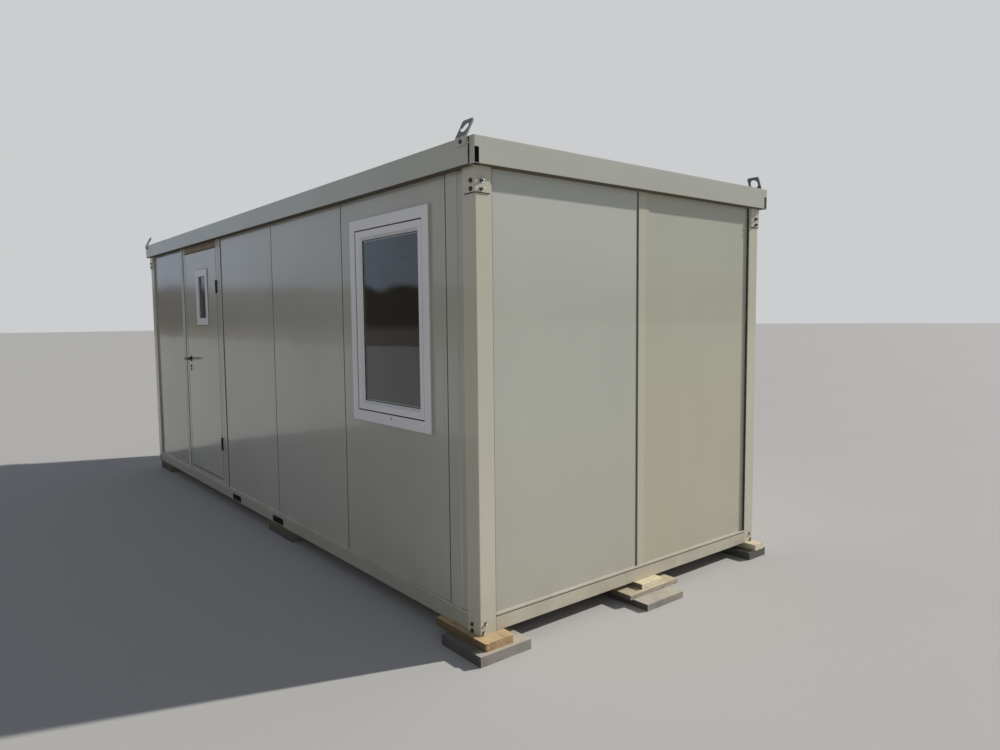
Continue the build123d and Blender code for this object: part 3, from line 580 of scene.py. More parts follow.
# Painted highlight of sunlight on the tops.
weathered_and_sunlit = timber.mix(timber.facing()[2].above(0.7) * along_x * 0.6, weathered_and_sunlit, shade(0.90, 0.72, 0.42))
timber.set(
    Base_Color=timber.mix(shaded_side * 0.72, weathered_and_sunlit, shade(0.05, 0.038, 0.026)),
    Roughness=0.68 + weather * 0.15,
    Normal=timber.bump(rings, 0.0006, 0.5, under=timber.bump(timber.noise(spot, 40.0, 4.0), 0.0015)),
)
print("timber is ready:", len(timber.tree.nodes), "nodes")

# %% [markdown]
# ## Concrete pavers
#
# The pavers are cast concrete with pinholes and a sandy surface. A pinhole is the middle of a Voronoi cell, and sand
# is a very fine noise. As on the timber, tops get a painted highlight of sunlight and the sides that look to the
# front get painted shade. The paver under the far corner is a darker concrete, and the near one's top gets painted
# shade along its front edge too.

# %% Cast concrete
concrete = Finish("cast_concrete")
spot = concrete.place()
x, y, z = concrete.along(spot)
blotch = concrete.noise(spot, 9.0, 6.0)
sand = concrete.noise(spot, 260.0, 3.0)
cells = concrete.node("ShaderNodeTexVoronoi", sockets={"Vector": spot, "Scale": 85.0}, output="Distance")
pits = cells.rise(0.22, 0.08)
cloudy = blotch.rise(0.3, 0.7)
cast = concrete.mix(cloudy, shade(0.245, 0.23, 0.205), shade(0.34, 0.32, 0.285))
darker = y.above(FAR_CORNER_Y) * x.above(FAR_CORNER_X)
# Painted shade on the sides that look to the front.
shaded_side = concrete.facing()[1].below(-0.7) * y.below(0)
# Painted highlight of sunlight on the tops.
sunlit_top = concrete.mix(cloudy, shade(0.44, 0.405, 0.335), shade(0.545, 0.50, 0.415))
cast = concrete.mix(concrete.facing()[2].above(0.7), cast, sunlit_top)
# Painted shade on the near paver's top along its front edge.
SHADED_EDGE_FROM, SHADED_EDGE_TO = (3.12, -1.19), (3.06, -1.23)
shaded_edge = x.rise(SHADED_EDGE_FROM[0], SHADED_EDGE_TO[0]) * y.rise(SHADED_EDGE_FROM[1], SHADED_EDGE_TO[1]) * (1 - shaded_side)
cast = concrete.mix(darker * 0.75 + shaded_side * 0.8 + shaded_edge * 0.7, cast, shade(0.06, 0.058, 0.057))
concrete.set(
    Base_Color=concrete.mix(pits * 0.5, cast, shade(0.16, 0.15, 0.14)),
    Roughness=0.85 + sand * 0.1,
    Normal=concrete.bump(sand - pits * 1.5, 0.0011, 0.8),
)
print("concrete is ready:", len(concrete.tree.nodes), "nodes")

# %% [markdown]
# ## Dress the frame
#
# Every node of the packed model keeps its mesh and only gets a finish in its material slots. The record names a
# finish for each node, so most of the work is one small table. A second table holds the nodes whose paint differs
# from the frame's, found by how their names begin.

# %% Give every node its finish
BY_SLOT = {
    "cabin_paint": frame_paint,
    "window_white": white_plastic,
    "inner_white": facing,
    "pane_glass": pane,
    "black_metal": satin_black,
    "dark_steel": primer,
    "roof_steel": galvanised,
    "deck_board": deck,
    "packing_wood": timber,
    "paver_concrete": concrete,
}
BY_START = {
    "wall_right": end_paint,
    "wall_left": end_paint,
    "wall_front_far": far_shaded_paint,
    "wall_": panel_paint,
    "door_leaf": door_paint,
    "door_frame": door_frame_paint,
    "base_beam_right": end_base_paint,
    "base_beam_left": end_base_paint,
    "base_beam_": shaded_long_base_paint,
    "roof_beam_": roof_paint,
    "lug_": lug_paint,
}


def finish_for(part):
    """The first paint in the table that fits the node's name, or else the finish of its material in the record."""
    fitting = [paint for start, paint in BY_START.items() if part["node"].startswith(start)]
    return fitting[0] if fitting else BY_SLOT[part["material_slot"]]


for part in frame["record"]["subparts"]:
    for slot in nodes[part["node"]].material_slots:
        slot.material = finish_for(part).material

# %% [markdown]
# ## Small pieces from grids
#
# A bolt, a seal or a screw is a surface with two parameters: how far along its profile, and how far round. numpy
# works out all of its points at once, and one helper joins neighbours into quads. A profile turned round an axis
# gives a bolt, and a profile carried round a rectangle gives a seal with mitred corners.

# %% Grids and turned shapes
def quads(rows, columns, closed_rows=False):
    """Faces between neighbours of a grid whose columns close into a ring; the rows close too if asked."""
    row_count = rows if closed_rows else rows - 1
    row, column = np.meshgrid(np.arange(row_count), np.arange(columns), indexing="ij")
    right, below = (column + 1) % columns, (row + 1) % rows
    corners = [row * columns + column, row * columns + right, below * columns + right, below * columns + column]
    return np.stack(corners, axis=-1).reshape(-1, 4)


def axes_for(out):
    """Three unit vectors: two across the given direction and the direction itself."""
    out = np.array(out, float) / np.linalg.norm(out)
    side = np.cross((0, 0, 1), out) if abs(out[2]) < 0.9 else np.array((1.0, 0, 0))
    side = side / np.linalg.norm(side)
    return np.stack([side, np.cross(out, side), out])


def turned(profile, centre, out, sides=24, spin=0.0):
    """
    A profile turned round an axis. Each row of the profile is (radius, height, flats): with flats at 1 the radius
    follows a hexagon, r / cos(angle from the middle of the flat), and with 0 it stays round.
    """
    profile = np.array(profile, float)
    angle = np.arange(sides) * 2 * np.pi / sides + spin
    from_flat = (angle - spin + np.pi / 6) % (np.pi / 3) - np.pi / 6
    hexagon = 1 / np.cos(from_flat)
    radius = profile[:, :1] * (1 + profile[:, 2:3] * (hexagon - 1))
    height = np.broadcast_to(profile[:, 1:2], radius.shape)
    local = np.stack([radius * np.cos(angle), radius * np.sin(angle), height], axis=-1).reshape(-1, 3)
    return local @ axes_for(out) + np.array(centre, float), quads(len(profile), sides)


print("a ring of 24 points in 3 rows has", len(quads(3, 24)), "faces")

# %% Mitred frames
def mitred(width, height, profile, centre, out=-1):
    """
    A closed profile carried round a rectangle with mitred corners. Each profile row is (inset, rise): a point of
    the ring is the corner, moved towards the middle by the inset on both sides and out of the wall by the rise.
    """
    profile = np.array(profile, float)
    signs = np.array([(-1, -1), (1, -1), (1, 1), (-1, 1)], float)
    x = signs[:, :1] * (width / 2 - profile[:, 0])
    z = signs[:, 1:] * (height / 2 - profile[:, 0])
    y = np.broadcast_to(out * profile[:, 1], x.shape)
    return np.stack([x, y, z], axis=-1).reshape(-1, 3) + np.array(centre, float), quads(4, len(profile), True)


print("a frame's sides:", len(quads(4, 5, True)), "faces for a profile of 5 points")

# %% [markdown]
# ## One object from several grids
#
# All the bolts of one kind are one object, so the list of pieces stays short. The points at a pole are merged, and
# then the faces are turned outwards. Edges sharper than 40 degrees stay crisp, and the others are shaded smooth. Each
# object says which body it rides and which material slot it belongs to.

# %% Make a piece
MERGE, CREASE = 2e-6, math.radians(40)


def piece(name, shapes, finish, body="cabin"):
    """Joins the grids, closes the poles, points the faces outwards, shades them and hands the object to its body."""
    starts = np.cumsum([0] + [len(points) for points, _ in shapes])
    points = np.concatenate([points for points, _ in shapes])
    faces = np.concatenate([faces + start for (_, faces), start in zip(shapes, starts)])
    mesh = bpy.data.meshes.new(name)
    mesh.from_pydata(points.tolist(), [], faces.tolist())
    shell = bmesh.new()
    shell.from_mesh(mesh)
    bmesh.ops.remove_doubles(shell, verts=shell.verts, dist=MERGE)
    bmesh.ops.recalc_face_normals(shell, faces=shell.faces)
    for face in shell.faces:
        face.smooth = True
    for edge in shell.edges:
        edge.smooth = edge.calc_face_angle(0) < CREASE
    shell.to_mesh(mesh)
    shell.free()
    mesh.materials.append(finish.material)
    made = bpy.data.objects.new(name, mesh)
    bpy.context.scene.collection.objects.link(made)
    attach(made, body)
    print(name, "shapes:", len(shapes), "faces:", len(mesh.polygons))


print("edges stay crisp above", round(math.degrees(CREASE)), "degrees")

# %% [markdown]
# ## Bolts of the corners
#
# Each roof corner is bolted to its column through the bent plate, the foot is bolted to the base beams, and one bolt
# holds each lifting lug. A bolt is a round washer and a hexagon head with a worn chamfer, and it sinks a little into
# what carries it, so that no gap shows. Those on the end walls show the round end of the bolt past its nut. No two
# corners are alike, so the heads are spun by different angles.

# %% Bolt heads with washers
def bolt(centre, out, across=0.017, spin=0.3, stub=0.0):
    """
    A washer with a hexagon nut or head on it. All follows from across, the width over the flats, except the stub:
    how far the round end of the bolt stands out past the nut.
    """
    flat = across / 2
    washer = flat * 1.42
    profile = [
        (0, -0.002, 0), (washer, -0.002, 0), (washer, 0.0012, 0), (washer - 0.0006, 0.0018, 0),
        (flat, 0.0018, 1), (flat, across * 0.42, 1), (flat * 0.86, across * 0.52, 0.3),
    ]
    if stub:
        shank, end = flat * 0.6, across * 0.52 + stub
        profile += [(shank, across * 0.52, 0), (shank, end - 0.001, 0), (shank - 0.001, end, 0), (0, end, 0)]
    else:
        profile += [(0, across * 0.53, 0)]
    return turned(profile, centre, out, spin=spin)


print("a bolt:", len(bolt((0, 0, 0), (0, 0, 1))[0]), "points")

# %% Place the bolts
BRACKET_THICK, BRACKET_BOLTS = 0.006, (2.310, 2.271)
FRONT_IN, FLANK_IN, FLANK_STUB = 0.026, 0.034, 0.012
FOOT_IN, FOOT_BOLTS, END_FOOT_BOLTS = 0.067, (0.134, 0.102), ((0.035, 0.147), (0.022, 0.104))
FLANK_SIZE, FOOT_SIZE, LUG_SIZE, LUG_BOLT_UP = 0.018, 0.016, 0.015, 0.020
corner_signs = [(end, side) for end in (1, -1) for side in (-1, 1)]
dull_heads, bright_heads = [], []
for count, (end, side) in enumerate(corner_signs):
    for z in BRACKET_BOLTS:
        front = (end * (half_length - FRONT_IN), side * (half_width + BRACKET_THICK), z)
        flank = (end * (half_length + BRACKET_THICK), side * (half_width - FLANK_IN), z)
        dull_heads.append(bolt(front, (0, side, 0), spin=0.4 * count))
        bright_heads.append(bolt(flank, (end, 0, 0), FLANK_SIZE, spin=0.2 * count, stub=FLANK_STUB))
    for z in FOOT_BOLTS:
        foot = (end * (half_length - FOOT_IN), side * half_width, z)
        dull_heads.append(bolt(foot, (0, side, 0), FOOT_SIZE, spin=z * 9))
    for inwards, z in END_FOOT_BOLTS:
        foot = (end * half_length, side * (half_width - inwards), z)
        bright_heads.append(bolt(foot, (end, 0, 0), FOOT_SIZE, spin=z * 7))
    corner = ("front" if side < 0 else "back") + "_" + ("right" if end > 0 else "left")
    lug_low, lug_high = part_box("lug_" + corner)
    lug_face = (lug_low if side < 0 else lug_high).y
    lug_bolt = ((lug_low.x + lug_high.x) / 2, lug_face, lug_low.z + LUG_BOLT_UP)
    dull_heads.append(bolt(lug_bolt, (0, side, 0), LUG_SIZE, spin=0.5))
piece("corner_bolts", dull_heads, zinc)
piece("end_bolts", bright_heads, end_zinc)

# %% [markdown]
# ## Screws and the lock
#
# Small screws with a square drive hold the hinges and the roof sheet. Each hinge has two wings, one on the door and
# one on its frame, and the screws ride the body that their wing is on. Below the lever sits the lock's plug with its
# slot for the key. It is turned from a profile like the bolts.

# %% Screws of the hinges
def screw(centre, out, radius):
    """A pan head with a square drive sunk into it."""
    profile = [
        (0, -0.001, 0), (radius, -0.001, 0), (radius, radius * 0.15, 0), (radius * 0.8, radius * 0.45, 0),
        (radius * 0.42, radius * 0.55, 0), (radius * 0.38, radius * 0.2, 0), (0, radius * 0.2, 0),
    ]
    return turned(profile, centre, out, sides=12)


KNUCKLE_RADIUS, STAND_OFF, WING_THICK = 0.0065, 0.007, 0.0025
SCREW_STEPS, SCREW_EDGE, HINGE_SCREW = (0.018, 0.058, 0.098), 0.004, 0.0032


def hinge_screws(node, x):
    """Three screws in each wing of a hinge node, spread over its height."""
    low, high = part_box(node)
    wing_face = low.y + KNUCKLE_RADIUS + STAND_OFF - WING_THICK
    heights = [low.z + step for step in SCREW_STEPS] + [high.z - step for step in SCREW_STEPS]
    return [screw((x, wing_face, z), (0, -1, 0), HINGE_SCREW) for z in heights]


frame_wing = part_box("hinge_frame_halves")[1].x - SCREW_EDGE
leaf_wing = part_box("hinge_leaf_halves")[0].x + SCREW_EDGE
piece("hinge_frame_screws", hinge_screws("hinge_frame_halves", frame_wing), satin_black)
piece("hinge_leaf_screws", hinge_screws("hinge_leaf_halves", leaf_wing), satin_black, body="door")

# %% Plug of the lock, and the roof's screws
ROSE_RADIUS, CYLINDER_DROP, PLUG_RADIUS = 0.026, 0.075, 0.0085
rose_low, rose_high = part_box("door_roses")
lock_x, lever_z = (rose_low.x + rose_high.x) / 2, rose_high.z - ROSE_RADIUS
plug = [(0, -0.001, 0), (PLUG_RADIUS, -0.001, 0), (PLUG_RADIUS, 0.002, 0), (PLUG_RADIUS - 0.0008, 0.0028, 0)]
plug += [(0.0022, 0.0028, 0), (0.0018, 0.001, 0), (0, 0.001, 0)]
lock_plug = turned(plug, (lock_x, rose_low.y, lever_z - CYLINDER_DROP), (0, -1, 0))
piece("lock_plug", [lock_plug], bright_zinc, body="door")

ROOF_SKIN, PURLINS, PURLIN_WIDTH = 0.001, 7, 0.050
ROOF_SCREW, SCREWS_EACH, SCREW_SPAN = 0.007, 8, 1.05
roof_valley, roof_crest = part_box("roof_sheet")[0].z + ROOF_SKIN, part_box("roof_sheet")[1].z
purlin_low, purlin_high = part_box("roof_purlins")
lines = np.linspace(purlin_low.x + PURLIN_WIDTH / 2, purlin_high.x - PURLIN_WIDTH / 2, PURLINS)
roof_screws = []
for x in lines:
    under_rib = abs(x) < PURLIN_WIDTH / 2
    z = roof_crest if under_rib else roof_valley
    across_roof = np.linspace(-SCREW_SPAN, SCREW_SPAN, SCREWS_EACH)
    roof_screws += [screw((x, y, z), (0, 0, 1), ROOF_SCREW) for y in across_roof]
piece("roof_screws", roof_screws, bright_zinc)

# %% [markdown]
# ## Seals of the window and the door
#
# A dark line runs round the sash, round its pane, and round the door leaf. Round the window it is rubber in the gaps,
# and round the door leaf a near-black lining, which is painted shade of the gaps. Painting a line on the steel would
# vanish from the side, so each seal is a thin mitred frame of its own that sits in the gap behind the faces, and it
# moves with the part that carries it. The window's outer frame has a grey bead against the wall, which is painted
# shade on the frame's side.

# %% Profiles and strips
def bead(inset, width, rise, depth):
    """Profile of a rubber strip: flat behind and rounded in front, between two insets."""
    arc = np.linspace(0, np.pi, 7)
    front = np.stack([inset + width / 2 - np.cos(arc) * width / 2, rise + np.sin(arc) * width * 0.3], axis=-1)
    back = np.array([(inset + width, rise - depth), (inset, rise - depth)])
    return np.concatenate([front, back])


def span(node):
    """Width, height and centre of a node as seen on the front wall, with the y of its outer face."""
    low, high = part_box(node)
    return high.x - low.x, high.z - low.z, ((low.x + high.x) / 2, low.y, (low.z + high.z) / 2)


def upright(ring, z0, z1):
    """A closed upright piece on a ring of plan points, which shrinks to its middle at both ends."""
    levels = np.array([z0, z0, z1, z1])
    shrink = np.array([0.0, 1.0, 1.0, 0.0])
    middle = ring.mean(axis=0)
    points = middle + (ring[None] - middle) * shrink[:, None, None]
    points = np.concatenate([points, np.broadcast_to(levels[:, None, None], points.shape[:2] + (1,))], axis=-1)
    return points.reshape(-1, 3), quads(4, len(ring))


def strip(x0, x1, y_front, z0, z1, depth, out=-1):
    """An upright rubber strip between two X values, with a rounded front that looks along -Y or +Y."""
    width = x1 - x0
    arc = np.linspace(0, np.pi, 7)
    across = np.concatenate([width / 2 - np.cos(arc) * width / 2, (width, 0)]) + x0
    rise = np.concatenate([np.sin(arc) * width * 0.25, (-depth, -depth)])
    return upright(np.stack([across, y_front + out * rise], axis=-1), z0, z1)


def turned_to_end(shape, end):
    """Turns a strip made for a wall along X so that it lies in an end wall; its X becomes a distance along Y."""
    points, faces = shape
    return np.stack([-end * points[:, 1], points[:, 0], points[:, 2]], axis=-1), faces


print("a bead has", len(bead(0, 0.004, 0, 0.01)), "points across")

# %% Rubber and sealant of the window
sash_width, sash_height, sash_centre = span("window_sash")
glass_width, glass_height, glass_centre = span("window_glass")
frame_width, frame_height, frame_centre = span("window_frame")
SASH_GAP, GRIP, SEALANT_REACH = 0.007, 0.008, 0.003
sash_bead = bead(inset=0.0003, width=SASH_GAP - 0.0006, rise=-0.002, depth=0.02)
pane_bead = bead(inset=-0.001, width=0.004, rise=0.0012, depth=0.0025)
window_seals = [
    mitred(sash_width + 2 * SASH_GAP, sash_height + 2 * SASH_GAP, sash_bead, sash_centre),
    mitred(glass_width - 2 * GRIP, glass_height - 2 * GRIP, pane_bead, glass_centre),
]
piece("window_seals", window_seals, rubber)
# The grey bead is painted shade on the frame's side.
frame_bead = bead(inset=0.0, width=0.0031, rise=-0.0015, depth=0.0128)
round_frame = mitred(
    frame_width + 2 * SEALANT_REACH, frame_height + 2 * SEALANT_REACH, frame_bead, frame_centre
)
piece("window_shade_sealant", [round_frame], grey_shade_sealant)

# %% Rubber of the door and its window
leaf_width, leaf_height, leaf_centre = span("door_leaf")
LEAF_GAP, VISION_RIM, RIM_REACH = 0.008, 0.066, 0.004
on_frame_side = bead(inset=0.0002, width=0.0036, rise=-0.001, depth=0.012)
on_leaf_side = bead(inset=-0.0037, width=0.0036, rise=-0.001, depth=0.010)
leaf_seal = mitred(leaf_width + 2 * LEAF_GAP, leaf_height + 2 * LEAF_GAP, on_frame_side, leaf_centre)
# The door's seals are near-black lining: painted shade of the gaps round the leaf.
piece("door_seal_shade", [leaf_seal], shade_lining)
leaf_gasket_shade = mitred(leaf_width, leaf_height, on_leaf_side, leaf_centre)
piece("leaf_gasket_shade", [leaf_gasket_shade], shade_lining, body="door")
vision_width, vision_height, vision_centre = span("door_vision_frame")
on_pane = (vision_centre[0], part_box("door_vision_glass")[0].y, vision_centre[2])
on_leaf = (vision_centre[0], leaf_centre[1], vision_centre[2])
pane_rubber = bead(inset=-0.001, width=0.003, rise=0.001, depth=0.002)
rim_rubber = bead(inset=0.0, width=0.0045, rise=0.0006, depth=0.001)
vision_seals = [
    mitred(vision_width - 2 * VISION_RIM, vision_height - 2 * VISION_RIM, pane_rubber, on_pane),
    mitred(vision_width + 2 * RIM_REACH, vision_height + 2 * RIM_REACH, rim_rubber, on_leaf),
]
piece("door_window_seals", vision_seals, rubber, body="door")

# %% [markdown]
# ## Joints between the panels
#
# The wall panels stand a millimetre apart, with a groove along one edge of each, and a rubber strip closes the
# groove. The front wall has four such joints and the back wall five, one panel's width apart. The strip beside the
# door lies less deep and is narrow. Each end wall has one joint.

# %% Rubber in the joints between the wall panels
FRONT_JOINTS, BACK_JOINTS, FIRST_JOINT, PANEL_PITCH = 4, 5, 0.268, 1.150
GROOVE, JOINT_GAP = 0.008, 0.001
PANEL_FACE, SEAL_BACK, SEAL_DEPTH, FAR_SEAL_DEPTH = 0.016, 0.0025, 0.009, 0.015
DOOR_JOINT, FAR_JOINT_FACE, DOOR_JOINT_FACE, DOOR_SEAL = 3, 0.008, 0.0135, 0.003
wall_low, wall_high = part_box("wall_front_window")
joint_seals = []
for side in (-1, 1):
    for i in range(FRONT_JOINTS if side < 0 else BACK_JOINTS):
        by_door = side < 0 and i == DOOR_JOINT
        face = side * (half_width - (DOOR_JOINT_FACE if by_door else PANEL_FACE + SEAL_BACK))
        start = half_length - FIRST_JOINT - i * PANEL_PITCH - JOINT_GAP
        near = start - GROOVE + (DOOR_SEAL if by_door else GROOVE)
        joint_seals.append(strip(start - GROOVE, near, face, wall_low.z, wall_high.z, SEAL_DEPTH, out=side))
far_joint, far_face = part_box("wall_front_far")[1].x, FAR_JOINT_FACE - half_width
joint_seals.append(strip(far_joint - GROOVE, far_joint, far_face, wall_low.z, wall_high.z, FAR_SEAL_DEPTH))
for end in (1, -1):
    start = end_joint_y + JOINT_GAP
    face = half_length - PANEL_FACE - SEAL_BACK
    joint_seals.append(turned_to_end(strip(start, start + GROOVE, -face, wall_low.z, wall_high.z, SEAL_DEPTH), end))
piece("joint_seals", joint_seals, joint_rubber)

# %% [markdown]
# ## Painted shade at the end walls
#
# Below each end panel the sill has a narrow neck, and a dark bead fills it along the whole end as painted shade of
# the neck. A thin dark upright strip covers the return of each column beside the end panels, as painted shade of that
# return. Both are profiles drawn out along a line: the bead lies along the end beam, and the strip stands on a folded
# outline seen from above.

# %% Painted shade in the sills' necks
NECK_BEAD = np.array([
    (0.0095, 0.0), (0.0095, 0.0038), (0.0012, 0.0038), (0.0, 0.0028), (-0.0005, 0.0012), (-0.0005, -0.0014),
    (-0.0002, -0.0020), (0.0008, -0.0020), (0.0008, 0.0),
])
neck_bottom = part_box("base_beam_front")[1].z
along_end, faces = upright(NECK_BEAD, column_high.y, -column_high.y)
beads = []
for sign in (-1, 1):
    inset, height, run = along_end.T
    beads.append((np.stack([sign * (half_length - inset), run, neck_bottom + height], axis=-1), faces))
# Painted shade: the dark bead fills the shaded neck.
piece("sill_shade_bead", beads, joint_rubber)

# %% Strips beside the end panels
def folded(x0, x1, y_front, y_back, radius):
    """Plan ring of a folded cover: two square edges at the back and two rounded ones in front."""
    turn = np.linspace(0, np.pi / 2, 5)
    left = np.stack([x0 + radius * (1 - np.cos(turn)), y_front + radius * (1 - np.sin(turn))], axis=-1)
    right = np.stack([x1 - radius * (1 - np.sin(turn)), y_front + radius * (1 - np.cos(turn))], axis=-1)
    return np.concatenate([[(x0, y_back)], left, right, [(x1, y_back)]])


return_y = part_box("column_back_right")[0].y
EDGE_THICK, EDGE_ROUND, EDGE_DEEP, EDGE_BACK = 0.0016, 0.0008, 0.0155, 0.0012
edge = folded(half_length - EDGE_DEEP, half_length - EDGE_BACK, return_y - EDGE_THICK, return_y, EDGE_ROUND)
# Painted shade: the dark strip covers the column's return beside the end panel.
edges = [upright(edge * corner, wall_low.z, wall_high.z) for corner in corner_signs]
piece("column_edge_shade_strips", edges, joint_rubber)

# %% [markdown]
# ## Cover strip beside the door
#
# The filler beside the door frame wears a folded cover strip that brings it nearly level with the frame. It reaches
# from the frame to the joint of the next panel, and it sinks a little into the filler so that no gap shows behind it.

# %% Cover strip
COVER_RISE, COVER_SINK, COVER_CLEAR, FOLD = 0.006, 0.0003, 0.0005, 0.0015
cover_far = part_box("wall_front_fillers")[0].x
cover_near = half_length - FIRST_JOINT - DOOR_JOINT * PANEL_PITCH - JOINT_GAP - GROOVE - COVER_CLEAR
filler_face = PANEL_FACE - half_width
ring = folded(cover_far, cover_near, filler_face - COVER_RISE, filler_face + COVER_SINK, FOLD)
piece("door_cover_strip", [upright(ring, wall_low.z, wall_high.z)], door_frame_paint)

# %% [markdown]
# ## Corners of the roof
#
# A near-black cup lies behind each open slot at the roof's corners, as painted shade of the hollow. The end beams are
# folded sheet, open at both ends, so a thin plate closes each end. A dark lip runs along the foot of the bent
# bracket, round the corner of the column, as a painted shadow under the bracket.

# %% Dark cups behind the slots
SLOT_WIDTH, SLOT_HEIGHT, SLOT_MIDDLE_Y, SLOT_BOTTOM, WEB_INSIDE = 0.027, 0.073, 1.217, 2.381, 3.0747
cup = [(-0.0006, 0.0), (0.0004, 0.0), (0.0004, -0.014), (SLOT_WIDTH / 2, -0.014)]
cup += [(SLOT_WIDTH / 2, -0.016), (-0.0006, -0.016)]
shade_cups = []
for end, side in corner_signs:
    centre = (side * SLOT_MIDDLE_Y, -WEB_INSIDE, SLOT_BOTTOM + SLOT_HEIGHT / 2)
    shade_cups.append(turned_to_end(mitred(SLOT_WIDTH, SLOT_HEIGHT, cup, centre), end))
# Painted shade: a near-black cup behind each slot stands in for the hollow's shade.
piece("slot_shade_cups", shade_cups, shade_lining)

# %% Plates that close the end beams
PLATE, PLATE_INSET, PLATE_START, PLATE_SHORT = 0.0012, 0.0002, 0.005, 0.0005
beam_low, beam_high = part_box("roof_beam_right")
near_x, far_x = half_length + PLATE_START, beam_high.x - 2 * PLATE_INSET
plates = []
for end, side in corner_signs:
    outer, inner = beam_high.y - PLATE_INSET, beam_high.y - PLATE_INSET - PLATE
    ring = np.array([(near_x, inner), (near_x, outer), (far_x, outer), (far_x, inner)]) * (end, side)
    plates.append(upright(ring, beam_low.z + PLATE_SHORT, beam_high.z - PLATE_SHORT))
piece("beam_end_plates", plates, roof_paint)

# %% Painted shadow below the brackets
BRACKET_LEG, LIP, LIP_DROP = 0.086, 0.0055, 0.003
bracket_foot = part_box("corner_brackets")[0].z
far_x, far_y = half_length - BRACKET_LEG, half_width - BRACKET_LEG
lips = []
for end, side in corner_signs:
    ring = np.array([
        (far_x, half_width), (far_x, half_width + LIP), (half_length + LIP, half_width + LIP),
        (half_length + LIP, far_y), (half_length, far_y), (half_length, half_width),
    ])
    lips.append(upright(ring * (end, side), bracket_foot - LIP_DROP, bracket_foot))
# Painted shadow: a dark lip along the foot of each bracket.
piece("bracket_shadow_lip", lips, shade_lining)

# %% [markdown]
# ## Spacer and drain hole of the window
#
# The window has two panes, and a bright metal bar keeps them apart all the way round. Water that gets in leaves
# through a drain hole in the bottom rail, which is a small near-black disc here, painted shade of the hole.

# %% Spacer and drain hole
PANE, SPACER = 0.004, 0.008
bar = [(0.001, 0.0), (0.009, 0.0), (0.009, -SPACER), (0.001, -SPACER)]
spacer_centre = (glass_centre[0], glass_centre[1] + PANE, glass_centre[2])
spacer = mitred(glass_width - 2 * GRIP, glass_height - 2 * GRIP, bar, spacer_centre)
piece("glass_spacer", [spacer], bright_zinc)

DRAIN_X, DRAIN_Z, DRAIN_RADIUS = 2.210, 1.092, 0.0055
hole = [(0, -0.002, 0), (DRAIN_RADIUS, -0.002, 0), (DRAIN_RADIUS, 0.0003, 0), (0, 0.0003, 0)]
drain = turned(hole, (DRAIN_X, frame_centre[1], DRAIN_Z), (0, -1, 0))
# Painted shade: a near-black disc stands in for the hole.
piece("drain_hole", [drain], shade_lining)

# %% [markdown]
# ## Light and floor
#
# In the photograph the sun stands behind the cabin and a little to the right: the end wall is lit at a slant, the
# long wall lies in shade, and the roof's edge throws a shadow line across the end panels. One slightly soft sun gives
# all three.

# %% Sun
SUN_FROM = (0.2783, 0.8020, 0.5285)
sun_data = bpy.data.lights.new("key_sun", "SUN")
sun_data.energy = 3.65
sun_data.angle = math.radians(1.5)
sun_data.color = (1.0, 0.965, 0.9)
sun = bpy.data.objects.new("key_sun", sun_data)
sun.rotation_euler = Vector(SUN_FROM).to_track_quat("Z", "Y").to_euler()
bpy.context.scene.collection.objects.link(sun)
print("sun from", SUN_FROM, "energy", round(sun_data.energy, 2))

# %% [markdown]
# ## Surround
#
# The paint is a weak mirror, so what stands round the cabin is a part of its look. Nothing real is built for that.
# The surround has a few plain bands: a dim upper one, a paler one above the horizon that is brighter in front of the
# cabin and bluer past its far end, a dark one with an uneven edge at the horizon, and a brown one below it. The
# camera itself sees none of them, because a light path node gives it an even pale grey.

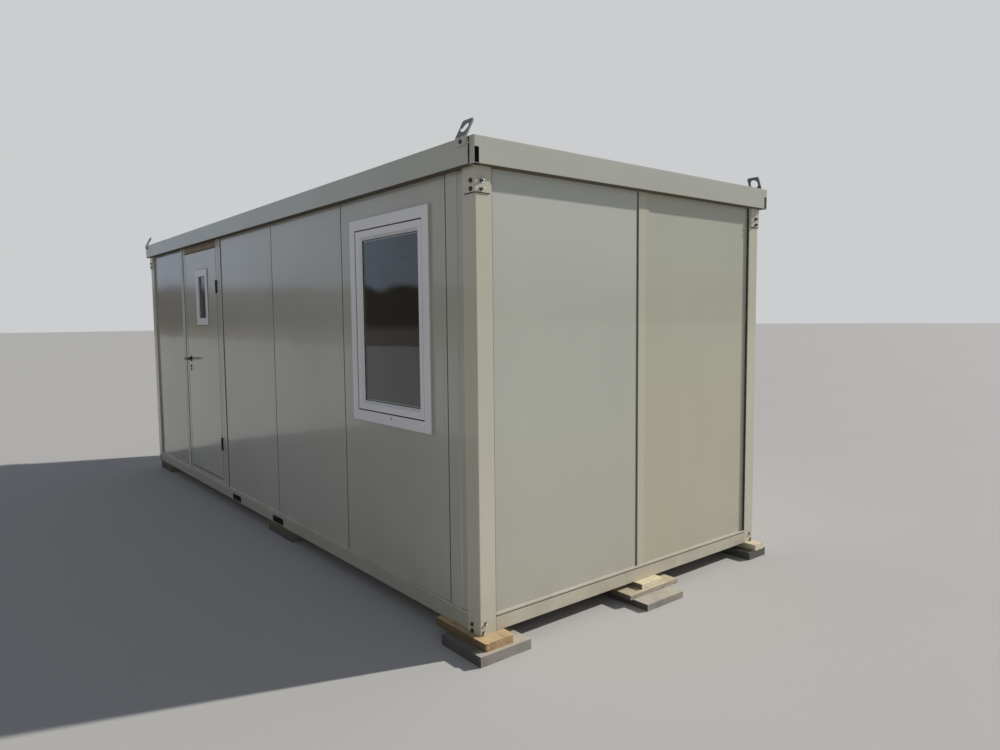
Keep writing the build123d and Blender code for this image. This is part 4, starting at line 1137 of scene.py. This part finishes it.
# %% Bands of the surround
UPPER, BEHIND = shade(0.165, 0.18, 0.215), shade(0.275, 0.295, 0.335)
IN_FRONT, PAST_FAR_END = shade(0.40, 0.40, 0.385), shade(0.42, 0.49, 0.60)
HORIZON, BELOW = shade(0.10, 0.09, 0.072), shade(0.24, 0.215, 0.18)
SEEN_GREY = shade(0.60, 0.61, 0.62)
world = bpy.data.worlds.new("studio_surround")
bpy.context.scene.world = world
world.use_nodes = True
sky = Recipe(world.node_tree)
direction = sky.node("ShaderNodeTexCoord", output="Generated")
x, y, height = sky.along(direction)
front_sky = sky.mix(x.rise(-0.72, -0.92), IN_FRONT, PAST_FAR_END)
low_sky = sky.mix(y.rise(0.15, -0.3), BEHIND, front_sky)
open_sky = sky.mix(height.rise(0.15, 0.7), low_sky, UPPER)
uneven_edge = height + sky.noise(direction, 22.0, 4.0) * 0.03
low_bands = sky.mix(height.rise(-0.02, -0.004), BELOW, HORIZON)
surround = sky.mix(uneven_edge.rise(0.052, 0.066), low_bands, open_sky)
seen = sky.node("ShaderNodeLightPath", output="Is Camera Ray")
backdrop = sky.mix(seen, surround, SEEN_GREY)
world.node_tree.links.new(backdrop.socket, world.node_tree.nodes["Background"].inputs["Color"])
print("surround:", len(world.node_tree.nodes), "nodes")

# %% [markdown]
# ## Floor
#
# A pale floor carries the shadow and throws light back up under the roof's edge. It reaches far behind the cabin, so
# that no edge of it shows in the picture. In front it ends sooner, because the long wall mirrors what lies there, and
# more bright floor in the mirror image would wash out the paint.

# %% Pale floor
floor_finish = Finish("pale_floor")
spot = floor_finish.place()
mottle = floor_finish.noise(spot, 0.35, 4.0)
floor_finish.set(
    Base_Color=floor_finish.mix(mottle, shade(0.50, 0.495, 0.485), shade(0.54, 0.535, 0.525)),
    Roughness=0.82 + mottle * 0.1,
)
FLOOR_REACH, FLOOR_FRONT = 150.0, 22.0
floor_mesh = bpy.data.meshes.new("studio_floor")
corners = [(-FLOOR_REACH, -FLOOR_FRONT, 0), (FLOOR_REACH, -FLOOR_FRONT, 0)]
corners += [(FLOOR_REACH, FLOOR_REACH, 0), (-FLOOR_REACH, FLOOR_REACH, 0)]
floor_mesh.from_pydata(corners, [], [(0, 1, 2, 3)])
floor_mesh.materials.append(floor_finish.material)
floor = bpy.data.objects.new("studio_floor", floor_mesh)
bpy.context.scene.collection.objects.link(floor)
bpy.context.scene.view_settings.view_transform = "Standard"
print("floor reaches", FLOOR_REACH, "m back and", FLOOR_FRONT, "m in front")

# %% [markdown]
